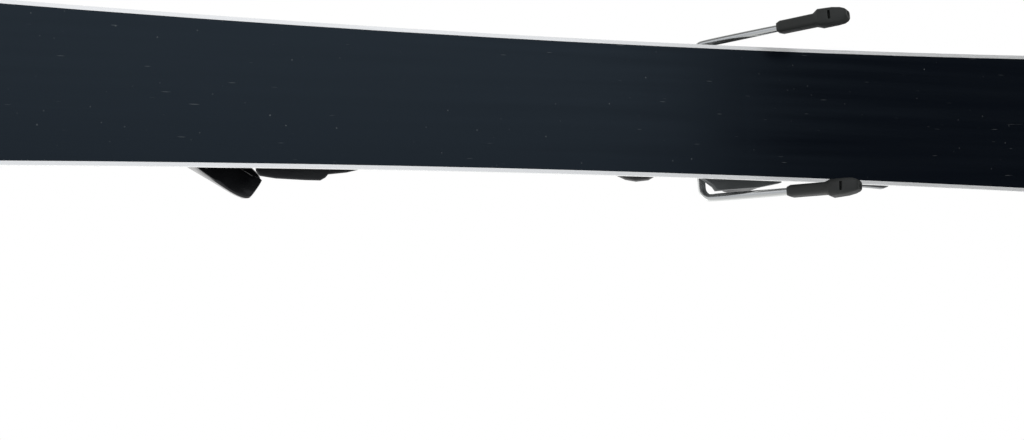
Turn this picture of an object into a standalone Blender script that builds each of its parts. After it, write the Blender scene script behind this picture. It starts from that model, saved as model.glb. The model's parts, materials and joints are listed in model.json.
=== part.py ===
# Carving ski with its binding and ski brake, 1.6 m long, metres, +Z up, +X toward the tip.
# The origin lies on the running base under the middle of the boot sole.
# The ski is a sandwich of shaped layers; the toe piece, heel piece and brake stand on tracks.

import math

import bmesh
import bpy
from mathutils import Matrix, Vector

# Ski outline
SKI_LENGTH = 1.600
TAIL_END_X = -0.700
TIP_END_X = TAIL_END_X + SKI_LENGTH
WAIST_WIDTH = 0.072
SIDECUT_RADIUS = 11.3
SHOVEL_X = TIP_END_X - 0.145
TAIL_WIDE_X = TAIL_END_X + 0.065
TAIL_END_WIDTH = 0.060
TIP_JOINT_X = TIP_END_X - 0.038
TAIL_JOINT_X = TAIL_END_X + 0.032
CORE_FRONT_X = TIP_END_X - 0.110
TIP_END_WIDTH = 0.0226
TIP_POWER = 2.3

# Ski side view
CAMBER_PER_METRE2 = 0.020
TIP_RISE_START_X = TIP_END_X - 0.300
TIP_RISE = 0.058
TIP_RISE_POWER = 2.6
TAIL_RISE_START_X = TAIL_END_X + 0.100
TAIL_RISE = 0.012
MOUNT_TOP = 0.0125
END_THICKNESS = 0.0047
MOUNT_ZONE = 0.270
TAPER_FRONT_X = TIP_END_X - 0.160
TAPER_REAR_X = TAIL_END_X + 0.060

# Layers, from the base up
GLUE_LINE = 0.0001
BASE_THICKNESS = 0.0012
EDGE_WIDTH = 0.0020
EDGE_HEIGHT = 0.0018
FLANGE_WIDTH = 0.0035
FLANGE_THICKNESS = 0.0004
SHEET_THICKNESS = 0.0004
SHEET_INSET = 0.0003
SIDEWALL_WIDTH = 0.0050
SIDEWALL_LEAN_DEG = 15.0
TOPSHEET_THICKNESS = 0.0007
TOPSHEET_ROUNDING = 0.0008
FLAT_HALF_LENGTH = 0.020
STATION_PITCH = 0.050
SHOVEL_PITCH = 0.020

# Fits between separate pieces
GAP = 0.0003

# Boot that the binding is set for
BOOT_SOLE = 0.305
SOLE_HEIGHT = 0.036
TOE_LUG_HEIGHT = 0.019
HEEL_LUG_HEIGHT = 0.030
TOE_LUG_RADIUS = 0.0415
HEEL_LUG_RADIUS = 0.0360
TOE_X = BOOT_SOLE / 2
HEEL_X = -BOOT_SOLE / 2

# Tracks that carry the binding
TRACK_WIDTH = 0.052
TRACK_FOOT = 0.0025
TRACK_WEB_WIDTH = 0.026
TRACK_WEB = 0.0030
TRACK_HEAD_WIDTH = 0.034
TRACK_HEAD = 0.0022
TRACK_UNDERCUT = 0.0004
TRACK_BOTTOM = MOUNT_TOP + GAP
TRACK_FOOT_TOP = TRACK_BOTTOM + TRACK_FOOT
TRACK_HEAD_LOW = TRACK_FOOT_TOP + TRACK_WEB
TRACK_TOP = TRACK_HEAD_LOW + TRACK_HEAD
TOE_TRACK_X = (0.076, 0.242)
HEEL_TRACK_X = (-0.258, -0.097)
SLIDER_WALL = 0.0052
RACK_PITCH = 0.004
RACK_SLOT = 0.0020
RACK_DEPTH = 0.0012
RACK_SLOT_WIDTH = 0.008
RACK_SLOTS = 14

# Mounting screws
SCREW_SHANK_RADIUS = 0.0021
SCREW_HEAD_RADIUS = 0.0034
SCREW_HEAD_HEIGHT = 0.0016
SCREW_LENGTH = 0.0095
SCREW_Y = 0.0205
TOE_SCREW_INSET = 0.016
HEEL_SCREW_INSET = (0.012, 0.015)
TOE_SCREW_X = (TOE_TRACK_X[0] + TOE_SCREW_INSET, TOE_TRACK_X[1] - TOE_SCREW_INSET)
HEEL_SCREW_X = (HEEL_TRACK_X[0] + HEEL_SCREW_INSET[0], HEEL_TRACK_X[1] - HEEL_SCREW_INSET[1])
SCREW_TURNING_STEPS = 12

# Toe piece
TOE_SLIDER_TOP = TRACK_TOP + GAP + 0.0032
TOE_FLOOR = TOE_SLIDER_TOP + GAP
HOUSING_REAR_X = TOE_X - 0.0040
HOUSING_TOP = 0.068
HOUSING_FOOT_HALF = 0.0285
HOUSING_TOP_HALF = 0.0225
HOUSING_LENGTH = 0.088
HOUSING_NOSE_X = HOUSING_REAR_X + HOUSING_LENGTH
TOE_SLIDER_X = (TOE_X - 0.0685, HOUSING_NOSE_X - 0.0040)
WING_PIN_X = TOE_X + 0.0105
WING_PIN_Y = 0.020
WING_PIN_RADIUS = 0.0025
WING_BOSS_RADIUS = 0.0085
WING_LOW = SOLE_HEIGHT + 0.0012
WING_HIGH = 0.0595
WING_LEAN = 0.0044
WING_POCKET_CLEARANCE = 0.0008
WING_POCKET_INNER_Y = WING_PIN_Y - WING_BOSS_RADIUS - WING_POCKET_CLEARANCE
WING_POCKET_FRONT_X = WING_PIN_X + 0.0125
TOE_BORE_RADIUS = 0.0083
TOE_BORE_Z = 0.048
TOE_SPRING_WIRE = 0.0020
TOE_SPRING_TURNS = 6
AFD_LOW = TOE_FLOOR
AFD_SEAT = 0.031
AFD_PLATE_HALF = 0.030
AFD_PLATE_X = (TOE_X - 0.060, TOE_X - 0.018)
AFD_PLATE_CORNER = 0.006
TOE_WINDOW_X = (TOE_X + 0.026, TOE_X + 0.048)
WINDOW_HALF = 0.0042
INDICATOR_HALF = 0.0038
INDICATOR_LENGTH = 0.008

# Heel piece
CARRIAGE_X = (HEEL_X - 0.0995, HEEL_X + 0.0025)
CARRIAGE_TOP = 0.0265
HEEL_AXLE_X = HEEL_X - 0.0695
HEEL_AXLE_Z = 0.041
HEEL_AXLE_RADIUS = 0.0030
CHEEK_INNER_Y = 0.0173
CHEEK_THICKNESS = 0.0045
CHEEK_BOSS_RADIUS = 0.0090
HEEL_TAIL_RADIUS = 0.0125
HEEL_HOUSING_HALF = CHEEK_INNER_Y - 0.0005
HEEL_BORE_RADIUS = 0.0083
HEEL_BORE_Z = 0.056
HEEL_CROWN = 0.0765
HEEL_SPRING_WIRE = 0.0024
HEEL_SPRING_TURNS = 5
HEEL_FACE_X = HEEL_X - 0.0085
CUP_WIDTH = 0.064
CUP_REACH = 0.0140
CUP_BOW_DEPTH = 0.0114
CUP_LIP = 0.0045
HEEL_WINDOW_X = (HEEL_FACE_X - 0.034, HEEL_FACE_X - 0.014)
TREADLE = 0.0060
LEVER_PIN_X = HEEL_X - 0.0555
LEVER_PIN_Z = 0.068
LEVER_PIN_RADIUS = 0.0025
LEVER_LENGTH = 0.056
LEVER_HALF_WIDTH = 0.0248
LEVER_ARM = 0.0050
LEVER_BOSS_RADIUS = 0.0058
LEVER_PLATE = 0.0042
LEVER_REST_DEG = 14.0
WORM_RADIUS = 0.0036
WORM_Z = 0.0246
WORM_REAR_BLOCK = 0.0150

# Ski brake
BRAKE_X = -0.1044
BRAKE_Z = 0.0249
BRAKE_WIRE_RADIUS = 0.0023
BRAKE_BEND_Y = 0.0430
BRAKE_BEND_RADIUS = 0.0060
BRAKE_FOOT_END = (-0.1638, 0.0460, -0.0390)
BRAKE_FOOT_LENGTH = 0.0385
BRAKE_FOOT_BLOCK = 0.0155
BRAKE_SLEEVE_HALF = 0.0031
BRAKE_SLEEVE_DEPTH = 0.0046
BRAKE_BLOCK_INNER = 0.0042
BRAKE_BLOCK_OUTER = 0.0048
BRAKE_BLOCK_DEPTH = 0.0062
BRAKE_WIRE_STOP = 0.0080
BRAKE_FOOT_SLOT = 0.0015
BRAKE_CHEEK_Y = (0.0245, 0.0305)
BRAKE_CRANK_Y = 0.0150
BRAKE_CRANK_LENGTH = 0.036
BRAKE_CRANK_DEG = 47.0
BRAKE_BASE_X = (HEEL_X + 0.0028, -0.0960)
BRAKE_BASE_TOP = TRACK_TOP + GAP + 0.0012
BRAKE_SPRING_TURNS = 3
BRAKE_SPRING_WIRE_RADIUS = 0.0006
BRAKE_LUG_THICKNESS = 0.0039
PEDAL_HALF_WIDTH = 0.0275
PEDAL_REAR = 0.016
PEDAL_FRONT = 0.020
PEDAL_TOP = 0.0127
PEDAL_PLATE = 0.0072
PEDAL_GROOVES = 4
PEDAL_GROOVE_PITCH = 0.0060
PEDAL_GROOVE_DEPTH = 0.0008
PEDAL_HOOK_Y = (0.0045, 0.0112)
PEDAL_HOOK_RADIUS = 0.0052
PEDAL_TILT_DEG = 25.0

# Colours as linear red, green and blue
BLACK = (0.012, 0.013, 0.014)
DARK = (0.025, 0.027, 0.028)
BASE_BLACK = (0.016, 0.019, 0.021)
STEEL = (0.62, 0.63, 0.64)
ALUMINIUM = (0.70, 0.71, 0.72)
GREY = (0.30, 0.31, 0.32)
WOOD = (0.55, 0.40, 0.24)
GLASS_CLOTH = (0.52, 0.55, 0.42)
SPRING_STEEL = (0.40, 0.41, 0.43)
SIGNAL = (0.75, 0.55, 0.08)

SMOOTH_ANGLE = math.radians(35)


def clear_scene():
    for item in list(bpy.data.objects):
        bpy.data.objects.remove(item, do_unlink=True)


def new_collection(name):
    group = bpy.data.collections.new(name)
    bpy.context.scene.collection.children.link(group)
    return group


def paint(piece, colour, roughness, metallic=0.0):
    material = bpy.data.materials.new(piece.name + "_finish")
    material.use_nodes = True
    shader = material.node_tree.nodes["Principled BSDF"]
    shader.inputs["Base Color"].default_value = (*colour, 1.0)
    shader.inputs["Roughness"].default_value = roughness
    shader.inputs["Metallic"].default_value = metallic
    piece.data.materials.clear()
    piece.data.materials.append(material)


def add_piece(name, mesh, group):
    piece = bpy.data.objects.new(name, mesh)
    group.objects.link(piece)
    return piece


def make_cutter(piece):
    piece.hide_render = True
    piece.display_type = "WIRE"
    return piece


def cut(piece, cutter):
    step = piece.modifiers.new("cut", "BOOLEAN")
    step.operation = "DIFFERENCE"
    step.object = cutter


def join(piece, addition):
    make_cutter(addition)
    step = piece.modifiers.new("join", "BOOLEAN")
    step.operation = "UNION"
    step.object = addition


def round_edges(piece, width, segments=2, angle=40.0):
    step = piece.modifiers.new("rounded edges", "BEVEL")
    step.width = width
    step.segments = segments
    step.limit_method = "ANGLE"
    step.angle_limit = math.radians(angle)
    step.use_clamp_overlap = True


def smooth(piece):
    piece.data.shade_smooth()
    piece.data.set_sharp_from_angle(angle=SMOOTH_ANGLE)


def loft(name, rings, group):
    """Skin a row of closed rings, all with the same number of points, and close both ends."""
    shape = bmesh.new()
    rows = []
    for ring in rings:
        rows.append([shape.verts.new(point) for point in ring])
    count = len(rows[0])
    for near, far in zip(rows, rows[1:]):
        for i in range(count):
            j = (i + 1) % count
            shape.faces.new((near[i], near[j], far[j], far[i]))
    shape.faces.new(rows[0])
    shape.faces.new(list(reversed(rows[-1])))
    bmesh.ops.recalc_face_normals(shape, faces=shape.faces)
    mesh = bpy.data.meshes.new(name)
    shape.to_mesh(mesh)
    shape.free()
    return add_piece(name, mesh, group)


PLANES = {
    "XY": Matrix(((1, 0, 0, 0), (0, 1, 0, 0), (0, 0, 1, 0), (0, 0, 0, 1))),
    "XZ": Matrix(((1, 0, 0, 0), (0, 0, -1, 0), (0, 1, 0, 0), (0, 0, 0, 1))),
    "YZ": Matrix(((0, 0, 1, 0), (1, 0, 0, 0), (0, 1, 0, 0), (0, 0, 0, 1))),
}


def flat_solid(name, outline, low, high, group, plane="XY"):
    """Extrude a flat outline between two levels square to its plane, as a welded mesh."""
    curve = bpy.data.curves.new(name + "_outline", "CURVE")
    curve.dimensions = "2D"
    curve.fill_mode = "BOTH"
    curve.extrude = (high - low) / 2
    line = curve.splines.new("POLY")
    line.points.add(len(outline) - 1)
    for point, (u, v) in zip(line.points, outline):
        point.co = (u, v, 0.0, 1.0)
    line.use_cyclic_u = True
    guide = bpy.data.objects.new(name + "_outline", curve)
    bpy.context.scene.collection.objects.link(guide)
    middle = (low + high) / 2
    if plane == "XZ":
        middle = -middle
    place = PLANES[plane] @ Matrix.Translation((0.0, 0.0, middle))
    return welded(name, guide, place, group)


def welded(name, guide, place, group):
    """Turn a curve into a closed mesh in world space and remove the curve."""
    graph = bpy.context.evaluated_depsgraph_get()
    mesh = bpy.data.meshes.new_from_object(guide.evaluated_get(graph))
    shape = bmesh.new()
    shape.from_mesh(mesh)
    bmesh.ops.remove_doubles(shape, verts=shape.verts, dist=0.000002)
    bmesh.ops.transform(shape, matrix=place, verts=shape.verts)
    bmesh.ops.recalc_face_normals(shape, faces=shape.faces)
    shape.to_mesh(mesh)
    shape.free()
    mesh.name = name
    bpy.data.objects.remove(guide, do_unlink=True)
    return add_piece(name, mesh, group)


def wire(name, points, radius, group, sides=2):
    """A round wire along a row of points, its ends capped and welded."""
    curve = bpy.data.curves.new(name + "_line", "CURVE")
    curve.dimensions = "3D"
    curve.bevel_depth = radius
    curve.bevel_resolution = sides
    curve.use_fill_caps = True
    line = curve.splines.new("POLY")
    line.points.add(len(points) - 1)
    for point, place in zip(line.points, points):
        point.co = (*place, 1.0)
    guide = bpy.data.objects.new(name + "_line", curve)
    bpy.context.scene.collection.objects.link(guide)
    return welded(name, guide, Matrix.Identity(4), group)


AXIS_TURNS = {
    "Z": Matrix.Identity(4),
    "X": Matrix.Rotation(math.radians(90), 4, "Y"),
    "-X": Matrix.Rotation(math.radians(-90), 4, "Y"),
    "Y": Matrix.Rotation(math.radians(-90), 4, "X"),
}


def turned(name, profile, steps, group, axis, place):
    """Turn a profile of (radius, height) points, listed from top to bottom, about an axis."""
    mesh = bpy.data.meshes.new(name)
    shape = bmesh.new()
    verts = [shape.verts.new((radius, 0.0, height)) for radius, height in profile]
    for one, two in zip(verts, verts[1:]):
        shape.edges.new((one, two))
    shape.to_mesh(mesh)
    shape.free()
    piece = add_piece(name, mesh, group)
    step = piece.modifiers.new("turning", "SCREW")
    step.axis = "Z"
    step.steps = steps
    step.render_steps = steps
    step.use_merge_vertices = True
    step.merge_threshold = 0.00002
    piece.matrix_world = Matrix.Translation(place) @ AXIS_TURNS[axis]
    return piece


def rod(name, radius, low, high, group, axis, place, sides=20):
    """A plain pin or bore between two levels along an axis."""
    shape = bmesh.new()
    bmesh.ops.create_cone(shape, cap_ends=True, segments=sides, radius1=radius,
                          radius2=radius, depth=high - low)
    shift = Matrix.Translation((0.0, 0.0, (low + high) / 2))
    bmesh.ops.transform(shape, matrix=Matrix.Translation(place) @ AXIS_TURNS[axis] @ shift,
                        verts=shape.verts)
    mesh = bpy.data.meshes.new(name)
    shape.to_mesh(mesh)
    shape.free()
    return add_piece(name, mesh, group)


def block(name, low, high, group):
    """A box between two corners."""
    shape = bmesh.new()
    bmesh.ops.create_cube(shape, size=1.0)
    size = Vector(high) - Vector(low)
    middle = (Vector(high) + Vector(low)) / 2
    place = Matrix.Translation(middle) @ Matrix.Diagonal((*size, 1.0))
    bmesh.ops.transform(shape, matrix=place, verts=shape.verts)
    mesh = bpy.data.meshes.new(name)
    shape.to_mesh(mesh)
    shape.free()
    return add_piece(name, mesh, group)


def arc(centre_u, centre_v, radius, start_deg, end_deg, count):
    """Points along a round stretch of an outline."""
    points = []
    for i in range(count + 1):
        angle = math.radians(start_deg + (end_deg - start_deg) * i / count)
        points.append((centre_u + radius * math.cos(angle), centre_v + radius * math.sin(angle)))
    return points


def mirrored(outline):
    """The outline of the other side, kept in the same turning direction."""
    return [(u, -v) for u, v in reversed(outline)]


def rounded_ring(x, foot_half, top_half, low, high, radius, corner_steps=3):
    """A ring across the ski at one station: rounded corners, and sides that may lean inward."""
    ring = []
    corners = ((top_half - radius, high - radius, 0), (-top_half + radius, high - radius, 90),
               (-foot_half + radius, low + radius, 180), (foot_half - radius, low + radius, 270))
    for centre_y, centre_z, start in corners:
        for y, z in arc(centre_y, centre_z, radius, start, start + 90, corner_steps):
            ring.append((x, y, z))
    return ring


def drawn_in(outline, depths):
    """A flat outline, listed anticlockwise, with each point moved inward by its own depth."""
    points = []
    count = len(outline)
    for i in range(count):
        before = Vector(outline[i - 1])
        after = Vector(outline[(i + 1) % count])
        way = (after - before).normalized()
        place = Vector(outline[i]) + Vector((-way.y, way.x)) * depths[i]
        points.append((place.x, place.y))
    return points


def shaped_block(name, outline, levels, group, shares=None):
    """Stack an outline at rising levels, each a (height, depth drawn in) pair, and close the ends."""
    if shares is None:
        shares = [1.0] * len(outline)
    rings = []
    for height, depth in levels:
        ring = drawn_in(outline, [depth * share for share in shares])
        rings.append([(x, y, height) for x, y in ring])
    return loft(name, rings, group)


# Shape of the ski

def base_height(x):
    height = -CAMBER_PER_METRE2 * x * x
    if abs(x) <= FLAT_HALF_LENGTH:
        height = -CAMBER_PER_METRE2 * FLAT_HALF_LENGTH ** 2
    if x > TIP_RISE_START_X:
        share = (x - TIP_RISE_START_X) / (TIP_END_X - TIP_RISE_START_X)
        height += TIP_RISE * share ** TIP_RISE_POWER
    if x < TAIL_RISE_START_X:
        share = (TAIL_RISE_START_X - x) / (TAIL_RISE_START_X - TAIL_END_X)
        height += TAIL_RISE * share ** 2
    return height + CAMBER_PER_METRE2 * FLAT_HALF_LENGTH ** 2


def top_height(x):
    """Level under the binding, then a smooth taper to the thin ends."""
    end = TAPER_FRONT_X if x > 0 else -TAPER_REAR_X
    share = min(max((abs(x) - MOUNT_ZONE) / (end - MOUNT_ZONE), 0.0), 1.0)
    body = 0.5 * (1.0 + math.cos(math.pi * share))
    thin = base_height(x) + END_THICKNESS
    return thin + (MOUNT_TOP - thin) * body


def sidecut(x):
    return WAIST_WIDTH / 2 + x * x / (2.0 * SIDECUT_RADIUS)


def half_width(x):
    if x > SHOVEL_X:
        share = (x - SHOVEL_X) / (TIP_END_X - SHOVEL_X)
        wide = sidecut(SHOVEL_X)
        rounding = 1.0 - (TIP_END_WIDTH / 2 / wide) ** 2
        return wide * math.sqrt(1.0 - rounding * share ** TIP_POWER)
    if x < TAIL_WIDE_X:
        share = (TAIL_WIDE_X - x) / (TAIL_WIDE_X - TAIL_END_X)
        wide = sidecut(TAIL_WIDE_X)
        return wide - (wide - TAIL_END_WIDTH / 2) * (1.0 - math.sqrt(1.0 - share * share))
    return sidecut(x)


def across(x, depth):
    """A depth measured square to the outline, turned into a distance across the ski."""
    step = 0.001
    slope = (half_width(x + step) - half_width(x - step)) / (2 * step)
    return depth * math.sqrt(1.0 + slope * slope)


def stations(start, end, fixed):
    """Cross cuts along the ski: the flat by the origin, even cuts, closer ones in the shovel."""
    marks = [-FLAT_HALF_LENGTH, FLAT_HALF_LENGTH]
    mark = FLAT_HALF_LENGTH + STATION_PITCH
    while mark < end - STATION_PITCH / 4:
        marks.append(mark)
        mark += STATION_PITCH if mark < TIP_RISE_START_X else SHOVEL_PITCH
    mark = -FLAT_HALF_LENGTH - STATION_PITCH
    while mark > start + STATION_PITCH / 4:
        marks.append(mark)
        mark -= STATION_PITCH if mark > TAIL_RISE_START_X else SHOVEL_PITCH
    joints = [start, end] + fixed
    clear = SHOVEL_PITCH / 4
    inside = [x for x in marks if start < x < end and min(abs(x - joint) for joint in joints) > clear]
    return sorted(joints + inside)


FLANGE_LOW = BASE_THICKNESS + GLUE_LINE
FLANGE_HIGH = FLANGE_LOW + FLANGE_THICKNESS
LOWER_SHEET_LOW = EDGE_HEIGHT + GLUE_LINE
LOWER_SHEET_HIGH = LOWER_SHEET_LOW + SHEET_THICKNESS
CORE_LOW = LOWER_SHEET_HIGH + GLUE_LINE
UPPER_SHEET_HIGH = TOPSHEET_THICKNESS + GLUE_LINE
UPPER_SHEET_LOW = UPPER_SHEET_HIGH + SHEET_THICKNESS
CORE_HIGH = UPPER_SHEET_LOW + GLUE_LINE
SIDE_LEAN = math.tan(math.radians(SIDEWALL_LEAN_DEG))


def leaning_side(x, height_over_base):
    """Half width of the leaning side of the ski at a height over its base."""
    climb = max(height_over_base - CORE_LOW, 0.0)
    return half_width(x) - across(x, SHEET_INSET) - SIDE_LEAN * climb


def band(x, half, low, high):
    return [(x, half, low), (x, half, high), (x, -half, high), (x, -half, low)]


def make_laminate(group):
    long_run = stations(TAIL_JOINT_X, TIP_JOINT_X, [CORE_FRONT_X, CORE_FRONT_X + GAP])
    core_run = [x for x in long_run if x <= CORE_FRONT_X]
    spacer_run = [x for x in long_run if x > CORE_FRONT_X]

    def base_ring(x):
        half = half_width(x) - across(x, EDGE_WIDTH + GLUE_LINE)
        return band(x, half, base_height(x), base_height(x) + BASE_THICKNESS)

    running_base = loft("running_base", [base_ring(x) for x in long_run], group)
    paint(running_base, BASE_BLACK, 0.30)

    for side, name in ((1, "steel_edge_left"), (-1, "steel_edge_right")):
        rings = []
        for x in long_run:
            outer = half_width(x)
            inner = outer - across(x, EDGE_WIDTH)
            flange = inner - across(x, FLANGE_WIDTH)
            bottom = base_height(x)
            corners = ((outer, 0.0), (outer, EDGE_HEIGHT), (inner, EDGE_HEIGHT),
                       (inner, FLANGE_HIGH), (flange, FLANGE_HIGH), (flange, FLANGE_LOW),
                       (inner, FLANGE_LOW), (inner, 0.0))
            rings.append([(x, side * y, bottom + z) for y, z in corners])
        edge = loft(name, rings, group)
        paint(edge, STEEL, 0.25, 1.0)

    def filler_ring(x):
        half = half_width(x) - across(x, EDGE_WIDTH + FLANGE_WIDTH + GLUE_LINE)
        return band(x, half, base_height(x) + FLANGE_LOW, base_height(x) + FLANGE_HIGH)

    filler = loft("edge_level_filler", [filler_ring(x) for x in long_run], group)
    paint(filler, GLASS_CLOTH, 0.70)

    def lower_ring(x):
        half = half_width(x) - across(x, SHEET_INSET)
        bottom = base_height(x)
        return band(x, half, bottom + LOWER_SHEET_LOW, bottom + LOWER_SHEET_HIGH)

    lower_sheet = loft("lower_metal_sheet", [lower_ring(x) for x in long_run], group)
    paint(lower_sheet, ALUMINIUM, 0.35, 1.0)

    def core_ring(x):
        half = half_width(x) - across(x, SIDEWALL_WIDTH + GLUE_LINE)
        return band(x, half, base_height(x) + CORE_LOW, top_height(x) - CORE_HIGH)

    core = loft("wood_core", [core_ring(x) for x in core_run], group)
    paint(core, WOOD, 0.65)

    for side, name in ((1, "sidewall_left"), (-1, "sidewall_right")):
        rings = []
        for x in core_run:
            bottom = base_height(x) + CORE_LOW
            top = top_height(x) - CORE_HIGH
            inner = half_width(x) - across(x, SIDEWALL_WIDTH)
            corners = ((leaning_side(x, CORE_LOW), bottom),
                       (leaning_side(x, top - base_height(x)), top), (inner, top), (inner, bottom))
            rings.append([(x, side * y, z) for y, z in corners])
        wall = loft(name, rings, group)
        paint(wall, DARK, 0.40)

    def spacer_ring(x):
        half = leaning_side(x, CORE_LOW)
        return band(x, half, base_height(x) + CORE_LOW, top_height(x) - CORE_HIGH)

    spacer = loft("tip_spacer", [spacer_ring(x) for x in spacer_run], group)
    paint(spacer, DARK, 0.50)

    def upper_ring(x):
        low = top_height(x) - UPPER_SHEET_LOW
        high = top_height(x) - UPPER_SHEET_HIGH
        return band(x, leaning_side(x, high - base_height(x)), low, high)

    upper_sheet = loft("upper_metal_sheet", [upper_ring(x) for x in long_run], group)
    paint(upper_sheet, ALUMINIUM, 0.35, 1.0)

    def top_ring(x):
        high = top_height(x)
        low = high - TOPSHEET_THICKNESS
        shoulder = low + TOPSHEET_THICKNESS * 0.4
        side = leaning_side(x, low - base_height(x))
        rim = side - TOPSHEET_ROUNDING
        return [(x, side, low), (x, side, shoulder), (x, rim, high),
                (x, -rim, high), (x, -side, shoulder), (x, -side, low)]

    topsheet = loft("topsheet", [top_ring(x) for x in long_run], group)
    paint(topsheet, BLACK, 0.22)
    return core, upper_sheet, topsheet


def make_end_guards(group):
    """Moulded nose and tail pieces, full thickness, rounded in plan."""
    for name, start, end, count in (("tip_guard", TIP_JOINT_X + GAP, TIP_END_X, 8),
                                    ("tail_guard", TAIL_END_X, TAIL_JOINT_X - GAP, 6)):
        rings = []
        for i in range(count + 1):
            x = start + (end - start) * i / count
            wide = half_width(x)
            bottom = base_height(x)
            top = top_height(x)
            rim = wide - 0.0016
            shoulder = bottom + (top - bottom) * 0.62
            rings.append([(x, wide, bottom), (x, wide, shoulder), (x, rim, top),
                          (x, -rim, top), (x, -wide, shoulder), (x, -wide, bottom)])
        guard = loft(name, rings, group)
        paint(guard, DARK, 0.45)


# Tracks and their screws

def track_outline():
    foot = TRACK_WIDTH / 2
    web = TRACK_WEB_WIDTH / 2
    head = TRACK_HEAD_WIDTH / 2
    right = [(foot, TRACK_BOTTOM), (foot, TRACK_FOOT_TOP), (web, TRACK_FOOT_TOP),
             (web, TRACK_HEAD_LOW), (head, TRACK_HEAD_LOW + TRACK_UNDERCUT), (head, TRACK_TOP)]
    return right + [(-y, z) for y, z in reversed(right)]


def slider_outline(top):
    """A C that closes round the head of the track with a running gap."""
    head = TRACK_HEAD_WIDTH / 2 + GAP
    web = TRACK_WEB_WIDTH / 2 + GAP
    outer = head + SLIDER_WALL
    low = TRACK_FOOT_TOP + GAP
    shelf = TRACK_HEAD_LOW - GAP
    right = [(web, low + TRACK_UNDERCUT), (web, shelf), (head, shelf + TRACK_UNDERCUT),
             (head, TRACK_TOP + GAP)]
    left = [(-y, z) for y, z in reversed(right)]
    return right + left + [(-outer, low), (-outer, top), (outer, top), (outer, low)]


def screw_profile(grow):
    """Countersunk screw from its head down, or its hole when grown by the clearance."""
    top = TRACK_FOOT_TOP + (0.001 if grow else -0.0001)
    cone_low = TRACK_FOOT_TOP - SCREW_HEAD_HEIGHT
    low = TRACK_FOOT_TOP - SCREW_LENGTH
    head = SCREW_HEAD_RADIUS + grow
    shank = SCREW_SHANK_RADIUS + grow
    return [(0.0, top), (head, top), (head, TRACK_FOOT_TOP - 0.0003 - grow), (shank, cone_low - grow),
            (shank, low - grow), (0.0, low - grow - shank * 0.7)]


def make_tracks(group, cutters, layers):
    tracks = []
    for name, (start, end) in (("toe_track", TOE_TRACK_X), ("heel_track", HEEL_TRACK_X)):
        track = flat_solid(name, track_outline(), start, end, group, "YZ")
        paint(track, ALUMINIUM if name == "heel_track" else DARK, 0.40,
              1.0 if name == "heel_track" else 0.0)
        tracks.append(track)
    for track, places, word in ((tracks[0], TOE_SCREW_X, "toe"), (tracks[1], HEEL_SCREW_X, "heel")):
        number = 0
        for x in places:
            for y in (-SCREW_Y, SCREW_Y):
                number += 1
                label = word + "_mounting_screw_" + str(number)
                screw = turned(label, screw_profile(0.0), SCREW_TURNING_STEPS, group, "Z", (x, y, 0))
                paint(screw, STEEL, 0.30, 1.0)
                hole = turned(label + "_hole", screw_profile(GAP), SCREW_TURNING_STEPS, cutters,
                              "Z", (x, y, 0))
                make_cutter(hole)
                for piece in [track] + layers:
                    cut(piece, hole)
    return tracks


def make_rack(track, cutters):
    """Slots across the head of the heel track that the length screw would engage."""
    start = HEEL_TRACK_X[0] + 0.006
    for i in range(RACK_SLOTS):
        x = start + i * RACK_PITCH
        slot = block("rack_slot_" + str(i + 1), (x, -RACK_SLOT_WIDTH / 2, TRACK_TOP - RACK_DEPTH),
                     (x + RACK_SLOT, RACK_SLOT_WIDTH / 2, TRACK_TOP + 0.002), cutters)
        make_cutter(slot)
        cut(track, slot)


# Toe piece

def wing_outline():
    """Plan of the left wing at its foot, anticlockwise, with the share of the lean each point takes."""
    toe = TOE_X
    boss = [(x, y, 0.0) for x, y in arc(WING_PIN_X, WING_PIN_Y, WING_BOSS_RADIUS, -150, 36, 9)]
    lead = [(toe + 0.0138, 0.0303, 0.6), (toe + 0.0066, 0.0354, 0.8), (toe + 0.0017, 0.0386, 0.9),
            (toe - 0.0048, 0.0429, 0.95), (toe - 0.0090, 0.0448, 1.0)]
    tip = [(toe - 0.0122, 0.0455, 1.0), (toe - 0.0145, 0.0447, 0.9), (toe - 0.0168, 0.0412, 0.6)]
    rear = [(toe - 0.0187, 0.0382, 0.3), (toe - 0.0196, 0.0360, 0.1)]
    hollow = [(toe - 0.0182, 0.0347, 0.0), (toe - 0.0150, 0.0338, 0.0), (toe - 0.0108, 0.0312, 0.0),
              (toe - 0.0062, 0.0272, 0.0), (toe - 0.0028, 0.0215, 0.0)]
    return boss + lead + tip + rear + hollow


def wing_lip_outline():
    """Plan of the lip that reaches in over the toe of the boot, anticlockwise."""
    toe = TOE_X
    outer = [(toe + 0.0030, 0.0300), (toe - 0.0060, 0.0352), (toe - 0.0130, 0.0382),
             (toe - 0.0178, 0.0368), (toe - 0.0218, 0.0330), (toe - 0.0214, 0.0302)]
    inner = [(toe - 0.0186, 0.0270), (toe - 0.0120, 0.0220), (toe - 0.0060, 0.0150)]
    return [(toe + 0.0010, 0.0125)] + outer + inner


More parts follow.
